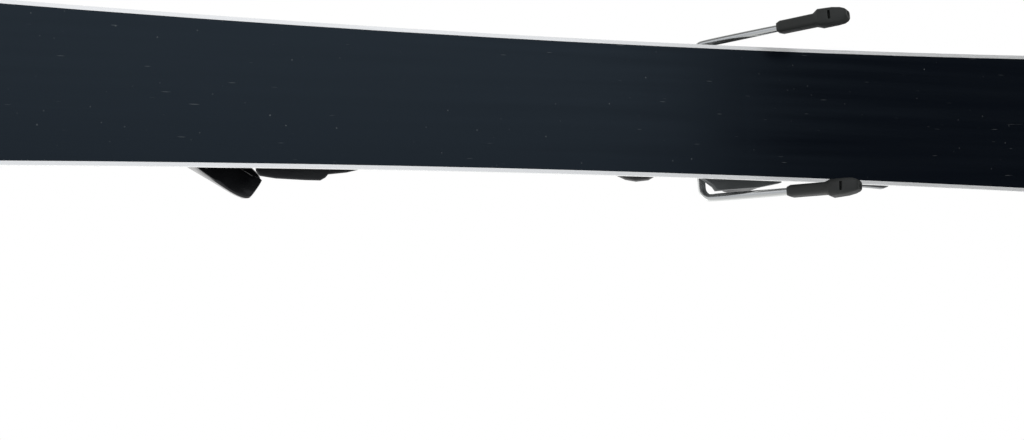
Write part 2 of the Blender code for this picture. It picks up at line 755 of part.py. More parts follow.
def make_wings(group, cutters):
    shape = wing_outline()
    plan = [(x, y) for x, y, share in shape]
    shares = [share for x, y, share in shape]
    height = WING_HIGH - WING_LOW
    levels = [(WING_LOW, 0.0009), (WING_LOW + 0.0012, 0.0),
              (WING_LOW + height * 0.45, WING_LEAN * 0.32), (WING_LOW + height * 0.80, WING_LEAN * 0.75),
              (WING_HIGH - 0.0010, WING_LEAN), (WING_HIGH, WING_LEAN + 0.0012)]
    lip_low = SOLE_HEIGHT + TOE_LUG_HEIGHT + 0.0006
    lip_levels = [(lip_low, 0.0006), (lip_low + 0.0008, 0.0),
                  (WING_HIGH - 0.0020, 0.0006), (WING_HIGH - 0.0006, 0.0022)]
    for side, word in ((1, "left"), (-1, "right")):
        outline = plan if side > 0 else mirrored(plan)
        lip_outline = wing_lip_outline() if side > 0 else mirrored(wing_lip_outline())
        part_shares = shares if side > 0 else list(reversed(shares))
        wing = shaped_block("toe_wing_" + word, outline, levels, group, part_shares)
        lip = shaped_block("toe_wing_lip_" + word, lip_outline, lip_levels, cutters)
        join(wing, lip)
        hole = rod("wing_pin_hole_" + word, WING_PIN_RADIUS + GAP, WING_LOW - 0.002,
                   WING_HIGH + 0.002, cutters, "Z", (WING_PIN_X, side * WING_PIN_Y, 0))
        cut(wing, make_cutter(hole))
        smooth(wing)
        paint(wing, BLACK, 0.18)
        pin = rod("toe_wing_pin_" + word, WING_PIN_RADIUS, TOE_FLOOR + 0.002, HOUSING_TOP - 0.003,
                  group, "Z", (WING_PIN_X, side * WING_PIN_Y, 0), 16)
        smooth(pin)
        paint(pin, STEEL, 0.25, 1.0)


def wing_pocket_outline():
    """Plan of the room the left wing swings in: round behind its boss, open to the side and the rear."""
    reach = WING_BOSS_RADIUS + WING_POCKET_CLEARANCE
    outside = HOUSING_FOOT_HALF + 0.010
    rear = HOUSING_REAR_X - 0.010
    front = WING_POCKET_FRONT_X
    round_side = arc(WING_PIN_X, WING_PIN_Y, reach, -90, -20, 4)
    open_side = [(front, WING_PIN_Y + 0.0040), (front, outside), (rear, outside)]
    return [(rear, WING_PIN_Y - reach)] + round_side + open_side


def make_toe_housing(group, cutters):
    """Moulded body: pockets for the wings, a round nose over the spring, a sloping top."""
    rear = HOUSING_REAR_X
    foot = HOUSING_FOOT_HALF
    top = HOUSING_TOP_HALF
    crest = HOUSING_TOP
    length = HOUSING_LENGTH
    floor = TOE_FLOOR
    sections = ((0.0, foot - 0.0030, top - 0.0030, floor, crest - 0.0040),
                (0.034, foot - 0.0005, top - 0.0005, floor, crest - 0.0008),
                (0.17, foot, top, floor, crest),
                (0.36, foot, top, floor, crest - 0.0002),
                (0.52, foot - 0.0010, top - 0.0010, floor, crest - 0.0020),
                (0.66, foot - 0.0025, top - 0.0028, floor, crest - 0.0062),
                (0.78, foot - 0.0048, top - 0.0048, floor, crest - 0.0120),
                (0.88, foot - 0.0078, top - 0.0072, floor + 0.0003, crest - 0.0185),
                (0.95, foot - 0.0108, top - 0.0096, floor + 0.0014, crest - 0.0240),
                (1.0, foot - 0.0140, top - 0.0122, floor + 0.0036, crest - 0.0290))
    rings = []
    for share, low_half, high_half, low, high in sections:
        rings.append(rounded_ring(rear + share * length, low_half, high_half, low, high, 0.0048, 3))
    housing = loft("toe_housing", rings, group)
    pocket = wing_pocket_outline()
    for side, word in ((1, "left"), (-1, "right")):
        room = flat_solid("wing_pocket_" + word, pocket if side > 0 else mirrored(pocket),
                          WING_LOW - WING_POCKET_CLEARANCE, WING_HIGH + WING_POCKET_CLEARANCE, cutters)
        cut(housing, make_cutter(room))
        hole = rod("housing_pin_hole_" + word, WING_PIN_RADIUS + GAP, TOE_FLOOR + 0.0014,
                   HOUSING_TOP + 0.002, cutters, "Z", (WING_PIN_X, side * WING_PIN_Y, 0), 16)
        cut(housing, make_cutter(hole))
    bore = rod("toe_bore", TOE_BORE_RADIUS, TOE_X + 0.006, HOUSING_NOSE_X + 0.016, cutters, "X",
               (0, 0, TOE_BORE_Z), 24)
    cut(housing, make_cutter(bore))
    window = block("toe_window", (TOE_WINDOW_X[0], -WINDOW_HALF, TOE_BORE_Z),
                   (TOE_WINDOW_X[1], WINDOW_HALF, HOUSING_TOP + 0.012), cutters)
    cut(housing, make_cutter(window))
    smooth(housing)
    paint(housing, BLACK, 0.25)
    return housing


def least_gap(points, wire_radius, apart):
    """Least distance between the surfaces of two stretches of a wire that lie apart by some points."""
    least = math.inf
    for i, one in enumerate(points):
        for other in points[i + apart:]:
            least = min(least, math.dist(one, other))
    return least - 2 * wire_radius


def coil(name, radius, wire_radius, start, end, turns, group, axis, centre):
    """A compression spring about the X or Y axis, from a formula."""
    points = []
    turn_points = 9
    count = turns * turn_points
    for i in range(count + 1):
        angle = 2 * math.pi * turns * i / count
        along = start + (end - start) * i / count
        u = radius * math.cos(angle)
        v = radius * math.sin(angle)
        if axis == "X":
            points.append((along, centre[0] + u, centre[1] + v))
        else:
            points.append((centre[0] + u, along, centre[1] + v))
    gap = least_gap(points, wire_radius, turn_points // 2)
    print(name, "least gap to itself", round(gap * 1000, 2), "mm")
    spring = wire(name, points, wire_radius, group, 1)
    smooth(spring)
    paint(spring, SPRING_STEEL, 0.35, 1.0)
    return spring


def make_toe_mechanism(group, cutters):
    toe = TOE_X
    plug = HOUSING_NOSE_X - 0.0330
    fit = TOE_BORE_RADIUS - GAP
    nose = fit - TOE_SPRING_WIRE - 0.0006
    profile = [(0.0, 0.010), (nose, 0.010), (nose, 0.006), (fit, 0.006), (fit, 0.0), (0.0, 0.0)]
    piston = turned("toe_piston", profile, 24, group, "X", (toe + 0.0065, 0, TOE_BORE_Z))
    smooth(piston)
    paint(piston, STEEL, 0.35, 1.0)
    coil("toe_spring", fit - TOE_SPRING_WIRE / 2, TOE_SPRING_WIRE / 2, toe + 0.0145, plug - 0.0020,
         TOE_SPRING_TURNS, group, "X", (0, TOE_BORE_Z))
    profile = [(0.0, 0.022), (0.0052, 0.022), (0.0060, 0.0212), (0.0060, 0.006), (fit, 0.006),
               (fit, 0.0), (0.0, 0.0)]
    screw = turned("toe_setting_screw", profile, 24, group, "X", (plug, 0, TOE_BORE_Z))
    slot = block("toe_screw_slot", (plug + 0.0205, -0.0007, TOE_BORE_Z - 0.0045),
                 (plug + 0.0230, 0.0007, TOE_BORE_Z + 0.0045), cutters)
    cut(screw, make_cutter(slot))
    smooth(screw)
    paint(screw, ALUMINIUM, 0.30, 1.0)
    middle = (TOE_WINDOW_X[0] + TOE_WINDOW_X[1]) / 2
    indicator = block("toe_indicator",
                      (middle - INDICATOR_LENGTH / 2, -INDICATOR_HALF, TOE_BORE_Z + 0.0086),
                      (middle + INDICATOR_LENGTH / 2, INDICATOR_HALF, HOUSING_TOP - 0.0032), group)
    round_edges(indicator, 0.0006, 1)
    paint(indicator, SIGNAL, 0.40)


def make_toe_base(group):
    base = flat_solid("toe_base", slider_outline(TOE_SLIDER_TOP), TOE_SLIDER_X[0], TOE_SLIDER_X[1],
                      group, "YZ")
    paint(base, DARK, 0.35)
    toe = TOE_X
    front = [(toe - 0.0146, 0.0335), (toe - 0.0166, 0.0362), (toe - 0.0245, 0.0373), (toe - 0.0394, 0.0378)]
    rear = [(toe - 0.0469, 0.0378), (toe - 0.0495, 0.0363), (toe - 0.0510, 0.0346), (toe - 0.0604, 0.0334),
            (toe - 0.0673, 0.0316), (toe - 0.0684, 0.0296)]
    half = front + rear
    outline = half + mirrored(half)
    levels = [(AFD_LOW, 0.0006), (AFD_LOW + 0.0008, 0.0), (AFD_SEAT - 0.0010, 0.0013), (AFD_SEAT, 0.0024)]
    seat = shaped_block("afd_base", outline, levels, group)
    smooth(seat)
    paint(seat, BLACK, 0.22)
    rear_x, front_x = AFD_PLATE_X
    corner_y = AFD_PLATE_HALF - AFD_PLATE_CORNER
    half = arc(front_x - AFD_PLATE_CORNER, corner_y, AFD_PLATE_CORNER, 0, 90, 4)
    half += arc(rear_x + AFD_PLATE_CORNER, corner_y, AFD_PLATE_CORNER, 90, 180, 4)
    outline = half + mirrored(half)
    slider = flat_solid("afd_plate", outline, AFD_SEAT + GAP, SOLE_HEIGHT, group)
    round_edges(slider, 0.0008, 2, 50)
    smooth(slider)
    paint(slider, BLACK, 0.15)


# Heel piece

def make_carriage(group, cutters):
    rear, front = CARRIAGE_X
    carriage = flat_solid("heel_carriage", slider_outline(CARRIAGE_TOP), rear, front, group, "YZ")
    hump = block("carriage_rear_block", (rear, -0.0165, CARRIAGE_TOP - 0.002),
                 (rear + WORM_REAR_BLOCK, 0.0165, 0.0330), cutters)
    round_edges(hump, 0.002, 2)
    join(carriage, hump)
    axle = HEEL_AXLE_X
    for side, word in ((1, "left"), (-1, "right")):
        top = arc(axle, HEEL_AXLE_Z, CHEEK_BOSS_RADIUS, -10, 190, 10)
        outline = [(axle + 0.0175, CARRIAGE_TOP - 0.002)] + top + [(axle - 0.0130, CARRIAGE_TOP - 0.002)]
        inner = side * CHEEK_INNER_Y
        outer = side * (CHEEK_INNER_Y + CHEEK_THICKNESS)
        cheek = flat_solid("carriage_cheek_" + word, outline, min(inner, outer), max(inner, outer),
                           cutters, "XZ")
        join(carriage, cheek)
    hole = rod("carriage_axle_hole", HEEL_AXLE_RADIUS + GAP, -0.030, 0.030, cutters, "Y",
               (axle, 0, HEEL_AXLE_Z))
    cut(carriage, make_cutter(hole))
    bore = rod("worm_bore", WORM_RADIUS + 0.0004, rear - 0.002, rear + 0.0262, cutters, "X",
               (0, 0, WORM_Z))
    cut(carriage, make_cutter(bore))
    paint(carriage, DARK, 0.35)
    pin = rod("heel_axle", HEEL_AXLE_RADIUS, -0.0215, 0.0215, group, "Y", (axle, 0, HEEL_AXLE_Z), 20)
    smooth(pin)
    paint(pin, STEEL, 0.25, 1.0)
    head = WORM_RADIUS
    neck = head - 0.001
    profile = [(0.0, 0.0235), (head, 0.0235), (head, 0.0195), (neck, 0.0190), (neck, 0.0175),
               (head, 0.0170), (head, 0.0), (0.0, 0.0)]
    screw = turned("heel_length_screw", profile, 18, group, "-X", (rear + 0.0235, 0, WORM_Z))
    slot = block("length_screw_slot", (rear - 0.002, -0.0006, WORM_Z - 0.0028),
                 (rear + 0.0014, 0.0006, WORM_Z + 0.0028), cutters)
    cut(screw, make_cutter(slot))
    smooth(screw)
    paint(screw, STEEL, 0.30, 1.0)


def make_heel_housing(group, cutters):
    axle = HEEL_AXLE_X
    face = HEEL_FACE_X
    tail = arc(axle, HEEL_AXLE_Z, HEEL_TAIL_RADIUS, 265, 120, 12)
    peak = HEEL_CROWN
    crown = [(LEVER_PIN_X - 0.0060, peak - 0.0075), (LEVER_PIN_X - 0.0030, peak - 0.0030),
             (LEVER_PIN_X + 0.0060, peak), (face - 0.0100, peak), (face, peak - 0.0025)]
    outline = tail + crown + [(face, 0.0310), (axle + 0.0200, 0.0300)]
    housing = flat_solid("heel_housing", outline, -HEEL_HOUSING_HALF, HEEL_HOUSING_HALF, group, "XZ")
    round_edges(housing, 0.0015, 2, 50)
    sections = ((axle + 0.0205, 0.0185, 0.0170, 0.0330, peak - 0.0030),
                (axle + 0.0260, 0.0225, 0.0195, 0.0318, peak - 0.0010),
                (axle + 0.0340, 0.0250, 0.0215, 0.0314, peak - 0.0008),
                (axle + 0.0440, 0.0268, 0.0228, 0.0312, peak - 0.0010),
                (face, 0.0275, 0.0235, 0.0312, peak - 0.0030))
    rings = [rounded_ring(x, half, top, low, high, 0.0042, 3) for x, half, top, low, high in sections]
    shoulders = loft("heel_shoulders", rings, cutters)
    join(housing, shoulders)
    hole = rod("housing_axle_hole", HEEL_AXLE_RADIUS + GAP, -0.030, 0.030, cutters, "Y",
               (axle, 0, HEEL_AXLE_Z))
    cut(housing, make_cutter(hole))
    pin_hole = rod("lever_pin_hole", LEVER_PIN_RADIUS + GAP, -0.030, 0.030, cutters, "Y",
                   (LEVER_PIN_X, 0, LEVER_PIN_Z))
    cut(housing, make_cutter(pin_hole))
    bore = rod("heel_bore", HEEL_BORE_RADIUS, axle - 0.010, face + 0.002, cutters, "X",
               (0, 0, HEEL_BORE_Z), 24)
    cut(housing, make_cutter(bore))
    window = block("heel_window", (HEEL_WINDOW_X[0], -WINDOW_HALF, HEEL_BORE_Z),
                   (HEEL_WINDOW_X[1], WINDOW_HALF, HEEL_CROWN + 0.0085), cutters)
    cut(housing, make_cutter(window))
    paint(housing, BLACK, 0.25)


def make_heel_cup(group, cutters):
    """Sole holder: a lip over the heel, a wall round it and the treadle under it."""
    back = HEEL_FACE_X + GAP
    half = CUP_WIDTH / 2
    low = SOLE_HEIGHT - TREADLE
    high = SOLE_HEIGHT + HEEL_LUG_HEIGHT + CUP_LIP
    front = HEEL_X + CUP_REACH
    side = [(back, half - 0.0090), (back + 0.0012, half - 0.0050), (back + 0.0040, half - 0.0020),
            (back + 0.0090, half - 0.0002), (front - 0.0070, half), (front - 0.0018, half - 0.0003),
            (front, half - 0.0016)]
    side_shares = [1.0, 1.0, 1.0, 1.0, 0.7, 0.4, 0.2]
    bow_shares = [0.2, 0.6] + [1.0] * 7 + [0.6, 0.2]
    shares = side_shares + bow_shares + list(reversed(side_shares))
    chord = half - 0.0040
    bow_radius = (chord ** 2 + CUP_BOW_DEPTH ** 2) / (2 * CUP_BOW_DEPTH)
    spread = math.degrees(math.asin(chord / bow_radius))
    bow_x = front - CUP_BOW_DEPTH + bow_radius
    bow = arc(bow_x, 0.0, bow_radius, 180 - spread, 180 + spread, 10)
    outline = list(reversed(side + bow + mirrored(side)))
    levels = [(low, 0.0014), (low + 0.0012, 0.0), (high - 0.0060, 0.0004), (high - 0.0024, 0.0012),
              (high, 0.0036)]
    cup = shaped_block("heel_cup", outline, levels, group, shares)
    hollow = rod("heel_hollow", HEEL_LUG_RADIUS + 0.0006, SOLE_HEIGHT + 0.0002,
                 SOLE_HEIGHT + HEEL_LUG_HEIGHT + 0.0002, cutters, "Z",
                 (HEEL_X + HEEL_LUG_RADIUS, 0, 0), 40)
    cut(cup, make_cutter(hollow))
    smooth(cup)
    paint(cup, BLACK, 0.22)


def make_heel_mechanism(group, cutters):
    axle = HEEL_AXLE_X
    face = HEEL_FACE_X
    fit = HEEL_BORE_RADIUS - GAP
    neck = fit - 0.002
    profile = [(0.0, 0.011), (fit, 0.011), (fit, 0.005), (neck, 0.005), (neck, 0.0), (0.0, 0.0)]
    piston = turned("heel_piston", profile, 24, group, "X", (face - 0.0120, 0, HEEL_BORE_Z))
    smooth(piston)
    paint(piston, STEEL, 0.35, 1.0)
    coil("heel_spring", fit - HEEL_SPRING_WIRE / 2, HEEL_SPRING_WIRE / 2, axle + 0.0185, face - 0.0136,
         HEEL_SPRING_TURNS, group, "X", (0, HEEL_BORE_Z))
    profile = [(0.0, 0.015), (0.0058, 0.015), (0.0062, 0.0142), (0.0062, 0.006), (fit, 0.006),
               (fit, 0.0), (0.0, 0.0)]
    screw = turned("heel_setting_screw", profile, 24, group, "-X", (axle + 0.0168, 0, HEEL_BORE_Z))
    slot = block("heel_screw_slot", (axle + 0.0010, -0.0007, HEEL_BORE_Z - 0.0045),
                 (axle + 0.0034, 0.0007, HEEL_BORE_Z + 0.0045), cutters)
    cut(screw, make_cutter(slot))
    smooth(screw)
    paint(screw, ALUMINIUM, 0.30, 1.0)
    middle = (HEEL_WINDOW_X[0] + HEEL_WINDOW_X[1]) / 2
    indicator = block("heel_indicator",
                      (middle - INDICATOR_LENGTH / 2, -INDICATOR_HALF, HEEL_BORE_Z + 0.0086),
                      (middle + INDICATOR_LENGTH / 2, INDICATOR_HALF, HEEL_CROWN - 0.0013), group)
    round_edges(indicator, 0.0006, 1)
    paint(indicator, SIGNAL, 0.40)


def make_lever(group, cutters):
    """Fork on the lever pin: a curved side view cut to a rounded plan, with a dish for the pole tip."""
    pin_x = LEVER_PIN_X
    half = LEVER_HALF_WIDTH
    inner = half - LEVER_ARM
    end = pin_x - LEVER_LENGTH
    boss = LEVER_BOSS_RADIUS
    side = [(pin_x + boss + 0.001, inner), (pin_x + boss + 0.001, half), (end + 0.0110, half),
            (end + 0.0060, half - 0.0016), (end + 0.0024, half - 0.0056), (end + 0.0006, half - 0.0120)]
    throat = [(pin_x - 0.0240, 0.0130), (pin_x - 0.0225, inner - 0.0030), (pin_x - 0.0190, inner)]
    outline = side + mirrored(side) + [(u, -v) for u, v in reversed(throat)] + throat
    tall = flat_solid("heel_lever", outline, LEVER_PIN_Z - 0.030, LEVER_PIN_Z + 0.030, group)
    plate = LEVER_PLATE
    over = [(pin_x - 0.0160, 0.0034), (pin_x - 0.0280, 0.0018), (end + 0.0140, 0.0020),
            (end + 0.0040, 0.0040), (end - 0.001, 0.0058)]
    under = [(x, z - plate) for x, z in reversed(over)]
    profile = arc(pin_x, 0.0, boss, -100, 100, 8) + over + under
    profile = [(x, z + LEVER_PIN_Z) for x, z in profile]
    slab = flat_solid("lever_side_view", profile, -half - 0.002, half + 0.002, cutters, "XZ")
    make_cutter(slab)
    step = tall.modifiers.new("side view", "BOOLEAN")
    step.operation = "INTERSECT"
    step.object = slab
    round_edges(tall, 0.0009, 2, 50)
    dish = rod("lever_dish", 0.030, -0.012, 0.012, cutters, "Y",
               (end + 0.016, 0, LEVER_PIN_Z + 0.0020 + 0.0292), 32)
    cut(tall, make_cutter(dish))
    hole = rod("lever_arm_hole", LEVER_PIN_RADIUS + GAP * 0.5, -0.030, 0.030, cutters, "Y",
               (pin_x, 0, LEVER_PIN_Z))
    cut(tall, make_cutter(hole))
    turn = (Matrix.Translation((pin_x, 0, LEVER_PIN_Z))
            @ Matrix.Rotation(math.radians(LEVER_REST_DEG), 4, "Y")
            @ Matrix.Translation((-pin_x, 0, -LEVER_PIN_Z)))
    for piece in (tall, slab, dish, hole):
        piece.matrix_world = turn
    paint(tall, GREY, 0.35, 0.6)
    pin = rod("lever_pin", LEVER_PIN_RADIUS, -half + 0.0005, half - 0.0005, group, "Y",
              (pin_x, 0, LEVER_PIN_Z), 16)
    smooth(pin)
    paint(pin, STEEL, 0.25, 1.0)


# Ski brake

def crank_end():
    angle = math.radians(BRAKE_CRANK_DEG)
    return (BRAKE_X + BRAKE_CRANK_LENGTH * math.cos(angle), BRAKE_Z + BRAKE_CRANK_LENGTH * math.sin(angle))


def arm_points(side):
    """Wire of one arm: in the foot, along the ski, round the bend, through the base, up the crank."""
    bend = Vector((BRAKE_X, BRAKE_BEND_Y, BRAKE_Z))
    end = Vector(BRAKE_FOOT_END)
    along = (end - bend).normalized()
    tip = end - along * BRAKE_WIRE_STOP
    crank_x, crank_z = crank_end()
    crank = Vector((crank_x, BRAKE_CRANK_Y, crank_z))
    base_turn = Vector((BRAKE_X, BRAKE_CRANK_Y, BRAKE_Z))
    up = (crank - base_turn).normalized()
    inward = Vector((0, -1, 0))
    points = [tip]
    points += corner(bend, along, inward, BRAKE_BEND_RADIUS)
    points += corner(base_turn, -inward, up, 0.0035)
    points += corner(crank, -up, inward, 0.0035)
    points.append(Vector((crank_x, 0.0030, crank_z)))
    return [(point.x, side * point.y, point.z) for point in points]


def corner(vertex, back, ahead, radius, count=5):
    """Points of a round bend at a vertex, between the ways back and ahead."""
    half = back.angle(ahead) / 2
    reach = radius / math.tan(half)
    start = vertex + back * reach
    centre = vertex + (back + ahead).normalized() * (radius / math.sin(half))
    first = start - centre
    last = vertex + ahead * reach - centre
    points = []
    for i in range(count + 1):
        share = i / count
        points.append(centre + first.slerp(last, share).normalized() * radius)
    return points


def foot_matrix(side):
    bend = Vector((BRAKE_X, side * BRAKE_BEND_Y, BRAKE_Z))
    end = Vector(BRAKE_FOOT_END)
    end.y *= side
    along = (end - bend).normalized()
    across_way = Vector((0, 1, 0)) - along * along.y
    across_way.normalize()
    third = along.cross(across_way)
    turn = Matrix((across_way, third, along)).transposed().to_4x4()
    return Matrix.Translation(end) @ turn


def make_foot(side, word, group, cutters):
    """Moulded foot: a flat sleeve on the wire, a stepped block, a cross slot and a round end."""
    length = BRAKE_FOOT_LENGTH
    step = BRAKE_FOOT_BLOCK
    sleeve = BRAKE_SLEEVE_HALF
    deep = BRAKE_SLEEVE_DEPTH
    inner = BRAKE_BLOCK_INNER
    outer = BRAKE_BLOCK_OUTER
    block_deep = BRAKE_BLOCK_DEPTH
    sections = ((-length, sleeve - 0.0007, sleeve - 0.0007, deep - 0.0014),
                (-length + 0.0022, sleeve, sleeve, deep - 0.0002),
                (-step - 0.0022, sleeve, sleeve, deep),
                (-step, inner - 0.0004, outer - 0.0004, block_deep - 0.0004),
                (-step + 0.0008, inner, outer, block_deep),
                (-step * 0.45, inner, outer - 0.0006, block_deep),
                (-0.0030, inner - 0.0002, outer - 0.0014, block_deep - 0.0006),
                (-0.0009, inner - 0.0010, outer - 0.0022, block_deep - 0.0016),
                (0.0, inner - 0.0018, outer - 0.0030, block_deep - 0.0026))
    rings = []
    for along, near, far, depth in sections:
        middle = side * (far - near) / 2
        width = (near + far) / 2
        ring = rounded_ring(0.0, width, width, -depth, depth, width * 0.55, 3)
        rings.append([(y + middle, z, along) for x, y, z in ring])
    foot = loft("brake_foot_" + word, rings, group)
    place = foot_matrix(side)
    foot.data.transform(place)
    if place.determinant() < 0:
        foot.data.flip_normals()
    socket_start = place @ Vector((0, 0, -length - 0.002))
    socket_end = place @ Vector((0, 0, -BRAKE_WIRE_STOP + 0.0010))
    socket = wire("brake_foot_socket_" + word, [socket_start, socket_end], BRAKE_WIRE_RADIUS + GAP,
                  cutters, 3)
    cut(foot, make_cutter(socket))
    slot_x = -step * 0.55
    half_slot = BRAKE_FOOT_SLOT / 2
    slot = block("brake_foot_slot_" + word, (-0.0024, block_deep - 0.0030, slot_x - half_slot),
                 (0.0024, block_deep + 0.0020, slot_x + half_slot), cutters)
    slot.data.transform(place)
    cut(foot, make_cutter(slot))
    dimple = rod("brake_foot_dimple_" + word, 0.0016, -0.0007, 0.0010, cutters, "Z", (0, 0, 0), 16)
    dimple.data.transform(place)
    cut(foot, make_cutter(dimple))
    smooth(foot)
    paint(foot, DARK, 0.60)


def make_brake(group, cutters):
    journal_inner, journal_outer = BRAKE_CHEEK_Y
    spring_radius = BRAKE_SPRING_WIRE_RADIUS
    for side, word in ((1, "left"), (-1, "right")):
        arm = wire("brake_arm_" + word, arm_points(side), BRAKE_WIRE_RADIUS, group, 3)
        smooth(arm)
        paint(arm, STEEL, 0.22, 1.0)
        make_foot(side, word, group, cutters)
        spring_start = BRAKE_CRANK_Y + BRAKE_WIRE_RADIUS + GAP + spring_radius
        spring_end = journal_inner - GAP - spring_radius
        coil("brake_spring_" + word, BRAKE_WIRE_RADIUS + GAP + spring_radius, spring_radius,
             side * spring_start, side * spring_end, BRAKE_SPRING_TURNS, group, "Y", (BRAKE_X, BRAKE_Z))
    rear, front = BRAKE_BASE_X
    base = flat_solid("brake_base", slider_outline(BRAKE_BASE_TOP), rear, front, group, "YZ")
    low = TRACK_FOOT_TOP + 0.0015
    at = BRAKE_X
    lug = [(front - 0.0015, 0.0200), (front - 0.0015, 0.0290), (at + 0.0034, 0.0322), (at - 0.0041, 0.0375),
           (at - 0.0056, 0.0396), (at - 0.0306, 0.0374), (rear + 0.0007, 0.0345), (rear + 0.0007, 0.0200)]
    for side, word in ((1, "left"), (-1, "right")):
        wing = flat_solid("brake_lug_" + word, lug if side > 0 else mirrored(lug), low,
                          low + BRAKE_LUG_THICKNESS, cutters)
        join(base, wing)
        journal = [(at + 0.0050, low), (at - 0.0070, low)] + arc(at, BRAKE_Z, 0.0046, 180, 0, 8)
        near = side * journal_inner
        far = side * journal_outer
        cheek = flat_solid("brake_journal_" + word, journal, min(near, far), max(near, far), cutters, "XZ")
        join(base, cheek)
        near = side * (BRAKE_CRANK_Y - 0.0035)
        far = side * (journal_inner - 0.0001)
        window = block("brake_spring_window_" + word, (at - 0.0050, min(near, far), TRACK_TOP),
                       (at + 0.0050, max(near, far), BRAKE_Z + 0.010), cutters)
        cut(base, make_cutter(window))
    hole = rod("brake_wire_hole", BRAKE_WIRE_RADIUS + GAP, -0.050, 0.050, cutters, "Y", (at, 0, BRAKE_Z))
    cut(base, make_cutter(hole))
    paint(base, GREY, 0.45, 0.5)
    make_pedal(group, cutters)


def make_pedal(group, cutters):
    """Rounded tread plate on the crank ends, grooved on top, with two hooks under it, tilted up at rest."""
    crank_x, crank_z = crank_end()
    front = crank_x + PEDAL_FRONT
    rear = crank_x - PEDAL_REAR
    half = PEDAL_HALF_WIDTH
    side = [(front, half - 0.0150), (front - 0.0022, half - 0.0085), (front - 0.0062, half - 0.0040),
            (front - 0.0110, half - 0.0014), (crank_x + 0.0030, half), (crank_x - 0.0040, half - 0.0004),
            (rear + 0.0070, half - 0.0030), (rear + 0.0026, half - 0.0070), (rear, half - 0.0130)]
    outline = side + mirrored(side)
    top = crank_z + PEDAL_TOP
    levels = [(top - PEDAL_PLATE, 0.0016), (top - PEDAL_PLATE + 0.0012, 0.0004), (top - 0.0030, 0.0),
              (top - 0.0010, 0.0006), (top, 0.0020)]
    pedal = shaped_block("brake_pedal", outline, levels, group)
    hook_top = top - PEDAL_PLATE + 0.001
    reach = PEDAL_HOOK_RADIUS
    hook = [(crank_x + reach, hook_top)] + arc(crank_x, crank_z, reach, 0, -180, 8)
    hook.append((crank_x - reach, hook_top))
    tools = []
    for side_sign, word in ((1, "left"), (-1, "right")):
        near = side_sign * PEDAL_HOOK_Y[0]
        far = side_sign * PEDAL_HOOK_Y[1]
        ear = flat_solid("pedal_hook_" + word, hook, min(near, far), max(near, far), cutters, "XZ")
        join(pedal, ear)
        tools.append(ear)
    hole = rod("pedal_hole", BRAKE_WIRE_RADIUS + GAP, -0.020, 0.020, cutters, "Y", (crank_x, 0, crank_z))
    cut(pedal, make_cutter(hole))
    tools.append(hole)
    first = crank_x - PEDAL_GROOVE_PITCH * (PEDAL_GROOVES - 1) / 2
    for i in range(PEDAL_GROOVES):
        x = first + i * PEDAL_GROOVE_PITCH
        groove = block("pedal_groove_" + str(i + 1), (x - 0.0008, -half + 0.0080, top - PEDAL_GROOVE_DEPTH),
                       (x + 0.0008, half - 0.0080, top + 0.0020), cutters)
        cut(pedal, make_cutter(groove))
        tools.append(groove)
    smooth(pedal)
    turn = (Matrix.Translation((crank_x, 0, crank_z))
            @ Matrix.Rotation(math.radians(-PEDAL_TILT_DEG), 4, "Y")
            @ Matrix.Translation((-crank_x, 0, -crank_z)))
    for piece in [pedal] + tools:
        piece.matrix_world = turn
    paint(pedal, BLACK, 0.30)


def main():
    clear_scene()
    group = new_collection("carving_ski")
    cutters = new_collection("cutters")
    core, upper_sheet, topsheet = make_laminate(group)
    make_end_guards(group)
    tracks = make_tracks(group, cutters, [core, upper_sheet, topsheet])
    make_rack(tracks[1], cutters)
    make_toe_base(group)
    make_toe_housing(group, cutters)
    make_wings(group, cutters)
    make_toe_mechanism(group, cutters)
    make_carriage(group, cutters)
    make_heel_housing(group, cutters)
    make_heel_cup(group, cutters)
    make_heel_mechanism(group, cutters)
    make_lever(group, cutters)
    make_brake(group, cutters)


main()
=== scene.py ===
# %% [markdown]
# # A carving ski with its binding and brake
# This file dresses a finished CAD model of a ski for the camera. The CAD model
# gives every size and every place. Here the pieces get their surface: ground
# polyethylene, ground steel, satin film, moulded and polished plastic, bent wire.
# Lengths are in metres. X runs to the tip, Z runs up from the base.

# %% Load the model and keep its box
import json
import math

import bpy
from mathutils import Matrix, Vector


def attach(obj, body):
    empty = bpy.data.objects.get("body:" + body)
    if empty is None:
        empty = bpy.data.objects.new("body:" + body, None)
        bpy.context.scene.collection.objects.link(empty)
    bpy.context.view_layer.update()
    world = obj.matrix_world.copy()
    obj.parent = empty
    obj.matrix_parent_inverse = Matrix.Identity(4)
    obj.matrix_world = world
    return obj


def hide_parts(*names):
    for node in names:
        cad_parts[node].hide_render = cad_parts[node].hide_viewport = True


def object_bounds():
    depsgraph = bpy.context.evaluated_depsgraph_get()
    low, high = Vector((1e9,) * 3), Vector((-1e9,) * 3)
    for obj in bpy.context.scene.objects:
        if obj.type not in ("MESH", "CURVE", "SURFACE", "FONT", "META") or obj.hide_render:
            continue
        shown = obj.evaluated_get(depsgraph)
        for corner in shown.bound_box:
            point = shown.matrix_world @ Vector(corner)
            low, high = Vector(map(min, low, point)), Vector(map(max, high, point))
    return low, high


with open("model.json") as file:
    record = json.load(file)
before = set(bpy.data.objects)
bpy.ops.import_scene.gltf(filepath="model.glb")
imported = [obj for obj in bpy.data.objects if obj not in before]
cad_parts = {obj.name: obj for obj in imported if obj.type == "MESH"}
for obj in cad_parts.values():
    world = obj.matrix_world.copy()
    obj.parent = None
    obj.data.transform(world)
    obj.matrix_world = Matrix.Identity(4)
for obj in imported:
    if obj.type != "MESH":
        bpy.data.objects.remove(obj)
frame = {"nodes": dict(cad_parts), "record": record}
nodes = frame["nodes"]
cad_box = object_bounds()
body_of = {}
for body, members in frame["record"]["behaviour"]["bodies"].items():
    for member in members:
        body_of[member] = body

